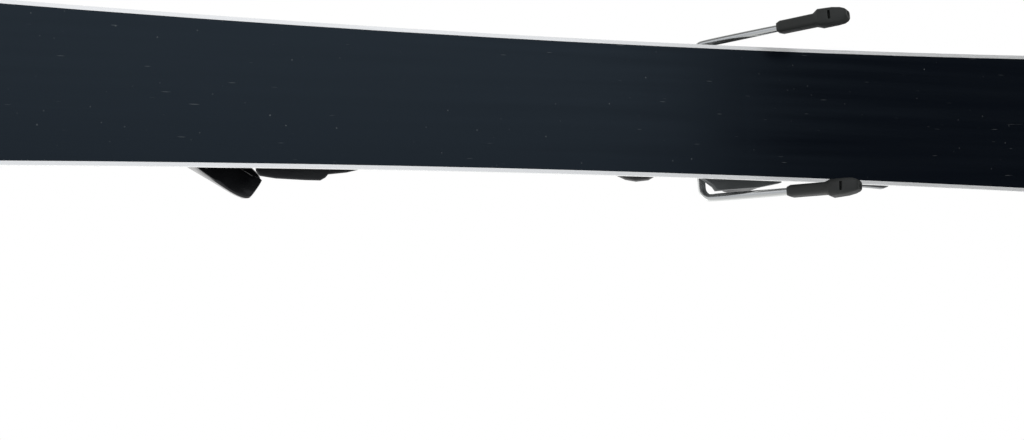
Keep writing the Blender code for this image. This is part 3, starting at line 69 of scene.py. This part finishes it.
# %% [markdown]
# ## Colours and nodes
# Colours are easiest to read as the hex values that a paint program shows. The
# shader wants linear light, so one function turns them over. A second one adds a
# shader node with its settings and links, which keeps each finish readable.
# Patterns are given by the real size of their features, in millimetres.


# %% Helpers for colours and shader nodes
MM = 1000.0  # millimetres in a metre
WHITE = (1.0, 1.0, 1.0, 1.0)


def linear(hex_colour):
    """An sRGB hex colour as linear red, green, blue and alpha."""
    parts = [int(hex_colour[i:i + 2], 16) / 255 for i in (1, 3, 5)]
    light = [p / 12.92 if p <= 0.04045 else ((p + 0.055) / 1.055) ** 2.4 for p in parts]
    return (*light, 1.0)


def per_mm(size_mm):
    """Texture scale that gives features of about this size."""
    return MM / size_mm


def per_mm_xyz(sizes_mm):
    """The same for features that are longer one way: their size along X, Y and Z."""
    return tuple(per_mm(size) for size in sizes_mm)


def add_node(tree, kind, inputs=None, links=None, **settings):
    """Add a node, set its properties and sockets, and link its inputs."""
    node = tree.nodes.new(kind)
    for key, value in settings.items():
        setattr(node, key, value)
    for key, value in (inputs or {}).items():
        node.inputs[key].default_value = value
    for key, source in (links or {}).items():
        tree.links.new(source, node.inputs[key])
    return node


def new_finish(name, colour, roughness, metallic=0.0, specular=0.5):
    """A material with a plain shader, ready for its patterns."""
    finish = bpy.data.materials.new(name)
    finish.use_nodes = True
    shader = finish.node_tree.nodes["Principled BSDF"]
    shader.inputs["Base Color"].default_value = linear(colour)
    shader.inputs["Roughness"].default_value = roughness
    shader.inputs["Metallic"].default_value = metallic
    shader.inputs["Specular IOR Level"].default_value = specular
    return finish, finish.node_tree, shader


print("one millimetre as a texture scale:", per_mm(1))

# %% [markdown]
# ## The running base: sintered polyethylene, stone ground
# The base is a black sheet of polyethylene with carbon in it. A grinding stone
# leaves fine lengthwise lines, wax gives a soft sheen, and use adds short pale
# scratches and a few specks. The cold blue tint of its reflections is painted: it
# stands in for cool light. Lines are noise that is stretched along the ski; specks
# are the centres of small cells; scratches are stretched noise that only shows
# where it passes a high threshold.

# %% Sizes of the marks on the base
STONE_LINE_MM = (90, 0.5, 5)    # long lines, 0.5 mm apart across the ski
STONE_LINE_DEPTH_MM = 0.1       # deeper than real ones, so that they show
WAX_BAND_MM = (260, 7, 20)      # uneven wax in long bands, 7 mm wide
SPECK_CELL_MM = 7               # one cell in each 7 mm: two specks to a square centimetre
WORN_PATCH_MM = 38              # specks are stronger in some places than in others
SCRATCH_MM = (9, 0.8, 5)        # stretched noise; only its peaks show, 3 to 6 mm long
SCRATCH_TURN = math.radians(4)  # scratches run a little across the lines


# %% Base finish
def ground_polyethylene():
    """Black ski base with stone lines, wax bands, specks and scratches."""
    finish, tree, shader = new_finish(
        "sintered_polyethylene_ground", "#070a10", 0.18, 0.0, 0.37)
    # painted cool light: this blue specular tint colours the base's reflections
    shader.inputs["Specular Tint"].default_value = (0.60, 0.82, 1.0, 1.0)
    place = add_node(tree, "ShaderNodeTexCoord").outputs["Object"]
    # stone lines
    along = add_node(tree, "ShaderNodeMapping", {"Scale": per_mm_xyz(STONE_LINE_MM)},
                     {"Vector": place})
    lines = add_node(tree, "ShaderNodeTexNoise",
                     {"Scale": 1.0, "Detail": 3.0, "Roughness": 0.6},
                     {"Vector": along.outputs["Vector"]})
    # wax bands
    wide = add_node(tree, "ShaderNodeMapping", {"Scale": per_mm_xyz(WAX_BAND_MM)},
                    {"Vector": place})
    wax = add_node(tree, "ShaderNodeTexNoise", {"Scale": 1.0, "Detail": 2.0},
                   {"Vector": wide.outputs["Vector"]})
    # specks about 0.6 mm across
    cells = add_node(tree, "ShaderNodeTexVoronoi", {"Scale": per_mm(SPECK_CELL_MM)},
                     {"Vector": place})
    speck = add_node(tree, "ShaderNodeMapRange", {"From Min": 0.075, "From Max": 0.035},
                     {"Value": cells.outputs["Distance"]})
    worn = add_node(tree, "ShaderNodeTexNoise",
                    {"Scale": per_mm(WORN_PATCH_MM), "Detail": 1.0}, {"Vector": place})
    used = add_node(tree, "ShaderNodeMapRange",
                    {"From Min": 0.45, "From Max": 0.66, "To Min": 0.01, "To Max": 0.15},
                    {"Value": worn.outputs["Fac"]})
    specks = add_node(tree, "ShaderNodeMath", {},
                      {0: speck.outputs["Result"], 1: used.outputs["Result"]},
                      operation="MULTIPLY")
    # scratches as thin as hairs
    turned = add_node(tree, "ShaderNodeMapping",
                      {"Rotation": (0.0, 0.0, SCRATCH_TURN), "Scale": per_mm_xyz(SCRATCH_MM)},
                      {"Vector": place})
    hair = add_node(tree, "ShaderNodeTexNoise", {"Scale": 1.0, "Detail": 0.0},
                    {"Vector": turned.outputs["Vector"]})
    scratch = add_node(tree, "ShaderNodeMapRange",
                       {"From Min": 0.83, "From Max": 0.89, "To Max": 0.11},
                       {"Value": hair.outputs["Fac"]})
    faint = add_node(tree, "ShaderNodeMath", {},
                     {0: specks.outputs["Value"], 1: scratch.outputs["Result"]},
                     operation="MAXIMUM")
    # colour, sheen and relief
    tone = add_node(tree, "ShaderNodeMix", {6: linear("#05070c"), 7: linear("#080b13")},
                    {0: lines.outputs["Fac"]}, data_type="RGBA")
    marked = add_node(tree, "ShaderNodeMix", {7: linear("#b9bfc0")},
                      {0: faint.outputs["Value"], 6: tone.outputs[2]}, data_type="RGBA")
    tree.links.new(marked.outputs[2], shader.inputs["Base Color"])
    sheen = add_node(tree, "ShaderNodeMapRange",
                     {"From Min": 0.3, "From Max": 0.7, "To Min": 0.13, "To Max": 0.23},
                     {"Value": wax.outputs["Fac"]})
    tree.links.new(sheen.outputs["Result"], shader.inputs["Roughness"])
    bump = add_node(tree, "ShaderNodeBump",
                    {"Strength": 0.10, "Distance": STONE_LINE_DEPTH_MM / MM},
                    {"Height": lines.outputs["Fac"]})
    tree.links.new(bump.outputs["Normal"], shader.inputs["Normal"])
    return finish


# %% [markdown]
# ## Edge steel, wire, screws, springs and aluminium
# The edges are rolled carbon steel, ground along their length, so their lines run
# with the ski. Only half of their light is a metal reflection. The other half is a
# near-white diffuse colour, a painted reflection that keeps them pale where the
# room is dark. Wire and pins are drawn stainless steel with a closer polish. A
# metal's colour is its reflection; the pattern only moves the roughness a little.
# One function serves all metals: it takes how long and how wide the marks of the tool are.

# %% Depth of the tool marks in metal
TOOL_MARK_DEPTH_MM = 0.05


# %% Metal finishes
def worked_metal(name, colour, roughness, length_mm, width_mm, bump_strength, metallic=1.0):
    """Metal with fine marks of its last tool, longer along the ski than across."""
    finish, tree, shader = new_finish(name, colour, roughness, metallic)
    place = add_node(tree, "ShaderNodeTexCoord").outputs["Object"]
    along = add_node(tree, "ShaderNodeMapping",
                     {"Scale": per_mm_xyz((length_mm, width_mm, width_mm))},
                     {"Vector": place})
    grain = add_node(tree, "ShaderNodeTexNoise", {"Scale": 1.0, "Detail": 3.0},
                     {"Vector": along.outputs["Vector"]})
    spread = add_node(tree, "ShaderNodeMapRange",
                      {"From Min": 0.3, "From Max": 0.7,
                       "To Min": roughness - 0.06, "To Max": roughness + 0.10},
                      {"Value": grain.outputs["Fac"]})
    tree.links.new(spread.outputs["Result"], shader.inputs["Roughness"])
    bump = add_node(tree, "ShaderNodeBump",
                    {"Strength": bump_strength, "Distance": TOOL_MARK_DEPTH_MM / MM},
                    {"Height": grain.outputs["Fac"]})
    tree.links.new(bump.outputs["Normal"], shader.inputs["Normal"])
    return finish


# %% [markdown]
# ## Moulded plastics
# The binding is injection moulded from glass-filled polyamide. Most of it has a
# fine spark-eroded grain, which spreads the light. The real grain is near 0.1 mm,
# too fine for the picture, so it is drawn 0.5 to 0.7 mm across. The toe wings are
# polished so that the boot can slide out, and show clear reflections. Corners rub
# paler in use: a bevel node gives the normal of a rounded corner, and where it
# turns away from the true one there is a corner.

# %% Sizes in the mouldings
CLOUD_MM = 14          # tone and sheen change slowly over the surface
GRAIN_DEPTH_MM = 0.2
RUBBED_CORNER_MM = 1.2


# %% Plastic finishes
def moulded_plastic(name, colour, worn_colour, roughness, grain_mm, bump_strength,
                    specular=0.5):
    """Plastic with a grain, slow changes of tone and paler corners."""
    finish, tree, shader = new_finish(name, colour, roughness, 0.0, specular)
    place = add_node(tree, "ShaderNodeTexCoord").outputs["Object"]
    grain = add_node(tree, "ShaderNodeTexNoise",
                     {"Scale": per_mm(grain_mm), "Detail": 2.0, "Roughness": 0.55},
                     {"Vector": place})
    cloud = add_node(tree, "ShaderNodeTexNoise", {"Scale": per_mm(CLOUD_MM), "Detail": 3.0},
                     {"Vector": place})
    tone = add_node(tree, "ShaderNodeMapRange",
                    {"From Min": 0.35, "From Max": 0.75, "To Max": 0.5},
                    {"Value": cloud.outputs["Fac"]})
    # rubbed corners
    true_normal = add_node(tree, "ShaderNodeNewGeometry").outputs["Normal"]
    round_normal = add_node(tree, "ShaderNodeBevel", {"Radius": RUBBED_CORNER_MM / MM},
                            samples=4).outputs["Normal"]
    facing = add_node(tree, "ShaderNodeVectorMath", {}, {0: true_normal, 1: round_normal},
                      operation="DOT_PRODUCT")
    corner = add_node(tree, "ShaderNodeMapRange", {"From Min": 0.995, "From Max": 0.93},
                      {"Value": facing.outputs["Value"]})
    rubbed = add_node(tree, "ShaderNodeMath", {},
                      {0: corner.outputs["Result"], 1: cloud.outputs["Fac"]},
                      operation="MULTIPLY")
    pale = add_node(tree, "ShaderNodeMath", {},
                    {0: tone.outputs["Result"], 1: rubbed.outputs["Value"]},
                    operation="ADD", use_clamp=True)
    # colour, sheen and relief
    mixed = add_node(tree, "ShaderNodeMix", {6: linear(colour), 7: linear(worn_colour)},
                     {0: pale.outputs["Value"]}, data_type="RGBA")
    tree.links.new(mixed.outputs[2], shader.inputs["Base Color"])
    spread = add_node(tree, "ShaderNodeMapRange",
                      {"From Min": 0.3, "From Max": 0.7,
                       "To Min": roughness - 0.04, "To Max": roughness + 0.07},
                      {"Value": cloud.outputs["Fac"]})
    tree.links.new(spread.outputs["Result"], shader.inputs["Roughness"])
    bump = add_node(tree, "ShaderNodeBump",
                    {"Strength": bump_strength, "Distance": GRAIN_DEPTH_MM / MM},
                    {"Height": grain.outputs["Fac"]})
    tree.links.new(bump.outputs["Normal"], shader.inputs["Normal"])
    return finish


# %% [markdown]
# ## The ski's list of finishes
# Each line is one real material and how it was made. After the name come its
# colours, its roughness, and the size and strength of its marks. The plastics, the
# glass laminate and the wood take a second colour, which shows in slow clouds and
# at rubbed corners.

# %% Make the finishes
finishes = {
    "base": ground_polyethylene(),
    # edge steel is half metallic: its near-white diffuse half is a painted reflection that
    # keeps it pale
    "edge": worked_metal("edge_steel_ground_painted_reflection", "#f7f8f8", 0.24, 30, 0.25, 0.20, 0.5),
    "wire": worked_metal("stainless_wire_drawn", "#dcdedd", 0.18, 20, 0.4, 0.08),
    "screw": worked_metal("screw_steel_zinc_plated", "#b9bcbd", 0.30, 0.8, 0.8, 0.15),
    "spring": worked_metal("spring_steel_oiled", "#8d8f90", 0.34, 1.5, 1.5, 0.15),
    "sheet": worked_metal("aluminium_sheet_sanded", "#c5c7c9", 0.38, 12, 0.3, 0.20),
    "track": worked_metal("aluminium_extruded_anodised", "#b8babc", 0.36, 40, 0.35, 0.20),
    "lever": worked_metal("lever_aluminium_blasted", "#a9abac", 0.46, 0.5, 0.5, 0.20),
    "brake_base": moulded_plastic("brake_base_grey_polyamide",
                                  "#45494a", "#626667", 0.46, 0.60, 0.30),
    "binding": moulded_plastic("glass_filled_polyamide_grained",
                               "#16181a", "#272a2c", 0.42, 0.70, 0.45),
    "gloss": moulded_plastic("polished_polyamide_black",
                             "#0c0d0f", "#15171a", 0.17, 1.20, 0.03),
    "foot": moulded_plastic("soft_polyamide_matt", "#1c1e1d", "#2b2f2d", 0.58, 0.70, 0.50),
    "sidewall": moulded_plastic("sidewall_abs_milled",
                                "#131517", "#1c1f21", 0.42, 0.50, 0.20),
    "topsheet": moulded_plastic("topsheet_polyamide_satin",
                                "#17191b", "#1c1f21", 0.31, 0.50, 0.12),
    "glass": moulded_plastic("glass_cloth_laminate", "#8f9276", "#9da087", 0.60, 0.60, 0.20),
    "wood": moulded_plastic("core_wood_beech", "#b48a58", "#a0784a", 0.62, 1.0, 0.20),
    "signal": moulded_plastic("indicator_acetal_yellow",
                              "#d8a21c", "#cf9917", 0.38, 0.60, 0.05),
}
print("finishes:", len(finishes))

# %% [markdown]
# ## Which finish each piece takes
# The CAD nodes stay as they are and only get a new material in their slot. Pieces
# that come in pairs or rows are found by the start of their name.

# %% Give every node its finish
finish_of = {
    "running_base": "base", "edge_level_filler": "glass", "lower_metal_sheet": "sheet",
    "upper_metal_sheet": "sheet", "wood_core": "wood", "topsheet": "topsheet",
    "tip_spacer": "sidewall", "tip_guard": "binding", "tail_guard": "binding",
    "toe_track": "binding", "heel_track": "track", "toe_base": "binding",
    "afd_base": "binding", "afd_plate": "gloss", "toe_housing": "binding",
    "toe_piston": "screw", "toe_spring": "spring", "toe_setting_screw": "screw",
    "toe_indicator": "signal", "heel_carriage": "binding", "heel_axle": "wire",
    "heel_length_screw": "screw", "heel_housing": "binding", "heel_cup": "binding",
    "heel_piston": "screw", "heel_spring": "spring", "heel_setting_screw": "screw",
    "heel_indicator": "signal", "heel_lever": "lever", "lever_pin": "wire",
    "brake_base": "brake_base", "brake_pedal": "binding",
}
finish_by_start = (("steel_edge", "edge"), ("sidewall", "sidewall"), ("toe_wing_pin", "wire"),
                   ("toe_mounting", "screw"), ("heel_mounting", "screw"),
                   ("brake_arm", "wire"), ("brake_foot", "foot"), ("brake_spring", "spring"))
for name in nodes:
    for start, kind in finish_by_start:
        if name.startswith(start):
            finish_of[name] = kind
for side in ("left", "right"):
    finish_of["toe_wing_" + side] = "gloss"
for name, node in nodes.items():
    node.data.materials.clear()
    node.data.materials.append(finishes[finish_of[name]])
print("nodes with a finish:", len(finish_of))

# %% [markdown]
# ## The soft corners of moulded, bent and turned pieces
# The CAD solids have sharp corners and flat facets. A real moulding has a small
# radius on each corner, because plastic can't fill a sharp one, and a drawn wire is
# truly round. That radius is what catches the light. It could be drawn into every
# outline, but a bevel on a copy is quicker. The copy's loose triangles are merged and
# its flat faces dissolved first, or the bevel would run along every triangle.

# %% Distances and angles for the copies
JOIN_MM = 0.02                   # corners of loose triangles closer than this are one
SLIVER_MM = 0.005                # a bevel's slivers are thinner than this
FLAT = math.radians(0.5)         # faces that turn less than this are one flat face
BEVELLED = math.radians(35)      # an edge sharper than this gets a radius
CREASED = math.radians(38)       # an edge sharper than this keeps a crease
PAIRED = math.radians(50)        # two triangles that turn less than this make a quad
MOULDING_SMOOTH_DEG = 40         # shading runs smoothly over smaller angles
SHELL_SMOOTH_DEG = 50
WIRE_SMOOTH_DEG = 60
LAYER_SMOOTH_DEG = 12


# %% Copy a node and give the copy its place
def merged_copy(name):
    """A copy of a CAD node in edit mode, its loose triangles joined at their corners."""
    piece = bpy.data.objects.new(name + "_rounded", nodes[name].data.copy())
    bpy.context.scene.collection.objects.link(piece)
    bpy.ops.object.select_all(action="DESELECT")
    piece.select_set(True)
    bpy.context.view_layer.objects.active = piece
    bpy.ops.object.mode_set(mode="EDIT")
    bpy.ops.mesh.select_all(action="SELECT")
    bpy.ops.mesh.remove_doubles(threshold=JOIN_MM / MM)
    return piece


def stand_in(piece, name, smooth_deg):
    """Shade the finished copy, hide its node and let it ride where the node rides."""
    bpy.ops.object.shade_smooth_by_angle(angle=math.radians(smooth_deg))
    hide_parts(name)
    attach(piece, body_of[name])
    return piece


# %% Two ways to round a copy
def clear_slivers():
    """Merge the slivers that a bevel leaves where two radii meet. Runs in edit mode."""
    bpy.ops.mesh.select_all(action="SELECT")
    bpy.ops.mesh.remove_doubles(threshold=SLIVER_MM / MM)
    bpy.ops.mesh.dissolve_degenerate(threshold=SLIVER_MM / MM)
    # a folded sliver loses one of its two triangles here; the other hangs on by one edge
    bpy.ops.mesh.quads_convert_to_tris(quad_method="FIXED", ngon_method="CLIP")
    bpy.ops.mesh.select_mode(type="EDGE")
    bpy.ops.mesh.select_all(action="DESELECT")
    bpy.ops.mesh.select_non_manifold(use_wire=False, use_multi_face=False,
                                     use_non_contiguous=False, use_verts=False)
    bpy.ops.mesh.delete(type="EDGE")
    bpy.ops.mesh.select_all(action="SELECT")
    bpy.ops.mesh.delete_loose()


def rounded_moulding(name, radius_mm):
    """Flat faces stay flat, and each sharp corner gets a radius."""
    piece = merged_copy(name)
    bpy.ops.mesh.dissolve_limited(angle_limit=FLAT)
    bpy.ops.object.mode_set(mode="OBJECT")
    soft = piece.modifiers.new("soft_corners", "BEVEL")
    soft.width = radius_mm / MM
    soft.segments = 2
    soft.limit_method = "ANGLE"
    soft.angle_limit = BEVELLED
    bpy.ops.object.modifier_apply(modifier=soft.name)
    bpy.ops.object.mode_set(mode="EDIT")
    clear_slivers()
    bpy.ops.object.mode_set(mode="OBJECT")
    return stand_in(piece, name, MOULDING_SMOOTH_DEG)


def subdivided_copy(name, crease, smooth_deg, levels=2):
    """Triangles are paired to quads and subdivided, with this crease on the sharp edges."""
    piece = merged_copy(name)
    bpy.ops.mesh.tris_convert_to_quads(face_threshold=PAIRED, shape_threshold=PAIRED)
    if crease:
        bpy.ops.mesh.select_mode(type="EDGE")
        bpy.ops.mesh.select_all(action="DESELECT")
        bpy.ops.mesh.edges_select_sharp(sharpness=CREASED)
        bpy.ops.transform.edge_crease(value=crease)
    bpy.ops.object.mode_set(mode="OBJECT")
    finer = piece.modifiers.new("finer", "SUBSURF")
    finer.levels = finer.render_levels = levels
    bpy.ops.object.modifier_apply(modifier=finer.name)
    return stand_in(piece, name, smooth_deg)


# %% Round the mouldings and the lever
MOULDING_RADIUS_MM = {
    "afd_plate": 0.8, "afd_base": 0.8, "toe_base": 0.8, "toe_housing": 0.7,
    "toe_track": 0.5, "heel_housing": 0.7, "heel_cup": 0.6, "heel_carriage": 0.6,
    "heel_lever": 0.6, "brake_base": 0.8, "brake_pedal": 0.8, "brake_foot_left": 1.0,
    "brake_foot_right": 1.0, "tip_guard": 0.5, "tail_guard": 0.5,
}
rounded = [rounded_moulding(name, radius) for name, radius in MOULDING_RADIUS_MM.items()]
print("rounded mouldings:", len(rounded))

# %% [markdown]
# ## Turned pieces
# Screws, pins and pistons come off a lathe or a heading machine. Their corners are
# only broken, so that they don't cut the hand, and a narrow radius is enough. The
# small yellow indicators beside them are treated the same way.

# %% Take the burr off the turned pieces
BROKEN_CORNER_MM = 0.2
TURNED = ("toe_setting", "heel_setting", "toe_indicator", "heel_indicator", "heel_axle",
          "lever_pin", "toe_wing_pin", "toe_piston", "heel_piston", "toe_mounting",
          "heel_mounting")
for name in nodes:
    if name.startswith(TURNED):
        rounded.append(rounded_moulding(name, BROKEN_CORNER_MM))
print("with the turned pieces:", len(rounded))

# %% [markdown]
# ## Toe wings
# A toe wing is one soft curved moulding with few sharp lines. A bevel would crease
# its shading, so its copy is subdivided three times. A crease on the sharp edges
# holds their line.

# %% Soften the toe wings
WING_CREASE = 0.75
for side in ("left", "right"):
    rounded.append(subdivided_copy("toe_wing_" + side, WING_CREASE, SHELL_SMOOTH_DEG, 3))
print("with the toe wings:", len(rounded))

# %% [markdown]
# ## Bent and coiled wire
# The brake arms are one bent wire, and the springs are coiled from thinner wire. The
# solids carry few facets round the wire. Subdivision without a crease rounds them.

# %% Give the wires finer rings
for name in nodes:
    if name.startswith(("brake_arm", "brake_spring", "toe_spring", "heel_spring")):
        rounded.append(subdivided_copy(name, 0.0, WIRE_SMOOTH_DEG))
print("with the wires:", len(rounded))

# %% [markdown]
# ## The ski's layers
# Base, edges, sidewalls, metal sheets and topsheet keep their shape. The tip and the
# tail bend in short flats, so their copies are only shaded smoothly over small angles.

# %% Let light run smoothly over the bent tip and tail
SKI_LAYERS = ("running_base", "steel_edge_left", "steel_edge_right", "sidewall_left",
              "sidewall_right", "upper_metal_sheet", "lower_metal_sheet", "topsheet")
for name in SKI_LAYERS:
    piece = merged_copy(name)
    bpy.ops.object.mode_set(mode="OBJECT")
    rounded.append(stand_in(piece, name, LAYER_SMOOTH_DEG))
print("rounded copies:", len(rounded),
      "faces:", sum(len(piece.data.polygons) for piece in rounded))

# %% [markdown]
# ## The camera
# The photograph looks up at the base from beside the tail, with the tip to the
# left. The lines of the steel edges and the points of the binding give the lens and
# the place of the camera. Its axes are written as the columns of its matrix: right,
# up and back.

# %% Camera
CAMERA_PLACE = (0.2422, -0.1740, -0.6984)
SENSOR_MM = 36.0
LENS_MM = 51.964
RIGHT = Vector((-0.9513, -0.0342, -0.3062)).normalized()
BACK = Vector((0.3078, -0.1527, -0.9391)).normalized()
UP = BACK.cross(RIGHT).normalized()
RIGHT = UP.cross(BACK)
camera_data = bpy.data.cameras.new("photograph_camera")
camera_data.sensor_width = SENSOR_MM
camera_data.lens = LENS_MM
camera = bpy.data.objects.new("photograph_camera", camera_data)
bpy.context.scene.collection.objects.link(camera)
axes = Matrix((RIGHT, UP, BACK)).transposed().to_4x4()
camera.matrix_world = Matrix.Translation(CAMERA_PLACE) @ axes
bpy.context.scene.camera = camera
print("lens mm:", round(camera_data.lens, 2))

# %% [markdown]
# ## World
# The background is white for the camera. What the metal and the wax reflect is a
# room that is white above the ski and dim below it, as in a studio where the
# camera stands in the dark half. The way a ray leaves picks the tone: its X tells
# tip from tail, its Y tells far from near, and its Z tells up from down.

# %% World and the room below the ski
world = bpy.data.worlds.new("studio")
bpy.context.scene.world = world
world.use_nodes = True
tree = world.node_tree
tree.nodes.clear()
way = add_node(tree, "ShaderNodeTexCoord").outputs["Generated"]
part_of_way = add_node(tree, "ShaderNodeSeparateXYZ", {}, {"Vector": way})
# light toward the tip, falling off to a dark corner behind the brake
below = add_node(tree, "ShaderNodeMapRange", {"From Min": -0.452, "From Max": -0.400},
                 {"Value": part_of_way.outputs["X"]}, interpolation_type="SMOOTHSTEP")
# brighter on the far side of the ski than under the camera
across = add_node(tree, "ShaderNodeMapRange", {"From Min": 0.15, "From Max": 0.26},
                  {"Value": part_of_way.outputs["Y"]})
light_end = add_node(tree, "ShaderNodeMix",
                     {6: (0.50, 0.52, 0.56, 1.0), 7: (0.97, 0.99, 1.04, 1.0)},
                     {0: across.outputs["Result"]}, data_type="RGBA")
dark_end = add_node(tree, "ShaderNodeMix",
                    {6: (0.03, 0.035, 0.04, 1.0), 7: (0.05, 0.06, 0.065, 1.0)},
                    {0: across.outputs["Result"]}, data_type="RGBA")
floor_tone = add_node(tree, "ShaderNodeMix", {},
                      {0: below.outputs["Result"], 6: dark_end.outputs[2],
                       7: light_end.outputs[2]}, data_type="RGBA")
print("tones below the ski:", len(tree.nodes), "nodes")

# %% The room at eye level and above
rising = add_node(tree, "ShaderNodeMapRange", {"From Min": 0.15, "From Max": 0.55},
                  {"Value": part_of_way.outputs["Z"]}, interpolation_type="SMOOTHSTEP")
sinking = add_node(tree, "ShaderNodeMapRange", {"From Min": -0.15, "From Max": -0.50},
                   {"Value": part_of_way.outputs["Z"]}, interpolation_type="SMOOTHSTEP")
# dim at eye level, and lighter on the side where the camera stands
toward_camera = add_node(tree, "ShaderNodeVectorMath", {1: (0.6, -0.8, 0.0)}, {0: way},
                         operation="DOT_PRODUCT")
near = add_node(tree, "ShaderNodeMapRange",
                {"From Min": 0.05, "From Max": 0.50, "To Min": 0.18, "To Max": 0.66},
                {"Value": toward_camera.outputs["Value"]}, interpolation_type="SMOOTHSTEP")
middle = add_node(tree, "ShaderNodeMix", {},
                  {0: sinking.outputs["Result"], 6: near.outputs["Result"],
                   7: floor_tone.outputs[2]}, data_type="RGBA")
room = add_node(tree, "ShaderNodeMix", {7: WHITE},
                {0: rising.outputs["Result"], 6: middle.outputs[2]}, data_type="RGBA")
print("tones of the whole room:", len(tree.nodes), "nodes")

# %% Who sees which part of the world
FILL_STRENGTH = 0.88
seen = add_node(tree, "ShaderNodeBackground", {"Strength": 1.0}, {"Color": room.outputs[2]})
fill = add_node(tree, "ShaderNodeBackground", {"Color": WHITE, "Strength": FILL_STRENGTH})
white = add_node(tree, "ShaderNodeBackground", {"Color": WHITE, "Strength": 1.0})
rays = add_node(tree, "ShaderNodeLightPath")
shiny = add_node(tree, "ShaderNodeMath", {},
                 {0: rays.outputs["Is Glossy Ray"], 1: rays.outputs["Is Transmission Ray"]},
                 operation="MAXIMUM")
lit = add_node(tree, "ShaderNodeMixShader", {},
               {0: shiny.outputs["Value"], 1: fill.outputs[0], 2: seen.outputs[0]})
final = add_node(tree, "ShaderNodeMixShader", {},
                 {0: rays.outputs["Is Camera Ray"], 1: lit.outputs[0], 2: white.outputs[0]})
add_node(tree, "ShaderNodeOutputWorld", {}, {"Surface": final.outputs[0]})
print("world nodes:", len(tree.nodes))

# %% [markdown]
# ## Floor
# The floor is pale paper under the brake feet. It can only be seen from above,
# because the photograph's camera looks up through it: seen from its back it is
# clear. It takes the ski's shadow and throws nothing on the ski itself.

# %% Floor
FLOOR_HALF = 25
FLOOR_GAP_MM = 0.5
FLOOR_Z = min(corner[2] for corner in cad_box) - FLOOR_GAP_MM / MM
floor_corners = [(x * FLOOR_HALF, y * FLOOR_HALF, FLOOR_Z)
                 for x, y in ((-1, -1), (1, -1), (1, 1), (-1, 1))]
floor_mesh = bpy.data.meshes.new("floor")
floor_mesh.from_pydata(floor_corners, [], [(0, 1, 2, 3)])
floor = bpy.data.objects.new("floor", floor_mesh)
bpy.context.scene.collection.objects.link(floor)
floor_finish, tree, shader = new_finish("floor_pale_paper", "#f4f4f3", 0.9, 0.0, 0.1)
under = add_node(tree, "ShaderNodeNewGeometry").outputs["Backfacing"]
clear = add_node(tree, "ShaderNodeBsdfTransparent")
either = add_node(tree, "ShaderNodeMixShader", {},
                  {0: under, 1: shader.outputs[0], 2: clear.outputs[0]})
tree.links.new(either.outputs[0], tree.nodes["Material Output"].inputs["Surface"])
floor_mesh.materials.append(floor_finish)
floor.visible_shadow = False
floor.visible_diffuse = False
floor.visible_glossy = False
floor.visible_transmission = False
print("floor at z mm:", round(FLOOR_Z * MM, 2))

# %% [markdown]
# ## Lamps
# The world gives most of the light. Two large square lamps above the ski add a
# soft shadow and shape the top of the binding. Both face the origin, which lies
# between the toe piece and the heel piece.

# %% Lamps
KEY_PLACE, KEY_SIDE, KEY_WATTS = (0.9, -1.1, 1.6), 1.6, 8
FILL_PLACE, FILL_SIDE, FILL_WATTS = (-1.2, 1.2, 1.3), 1.8, 4


def add_lamp(name, place, side, watts):
    """A square area lamp that faces the origin."""
    data = bpy.data.lights.new(name, "AREA")
    data.shape = "RECTANGLE"
    data.size = data.size_y = side
    data.energy = watts
    lamp = bpy.data.objects.new(name, data)
    bpy.context.scene.collection.objects.link(lamp)
    aim = (-Vector(place)).to_track_quat("-Z", "Y")
    lamp.matrix_world = Matrix.Translation(place) @ aim.to_matrix().to_4x4()
    return lamp


lamps = [add_lamp("key_above", KEY_PLACE, KEY_SIDE, KEY_WATTS),
         add_lamp("fill_above", FILL_PLACE, FILL_SIDE, FILL_WATTS)]
print("lamps:", [lamp.name for lamp in lamps])

# %% [markdown]
# ## Last settings
# The view layer is brought up to date, and the colour transform is set to Standard.

# %% Update the view and set the colour transform
bpy.context.view_layer.update()
bpy.context.scene.view_settings.view_transform = "Standard"
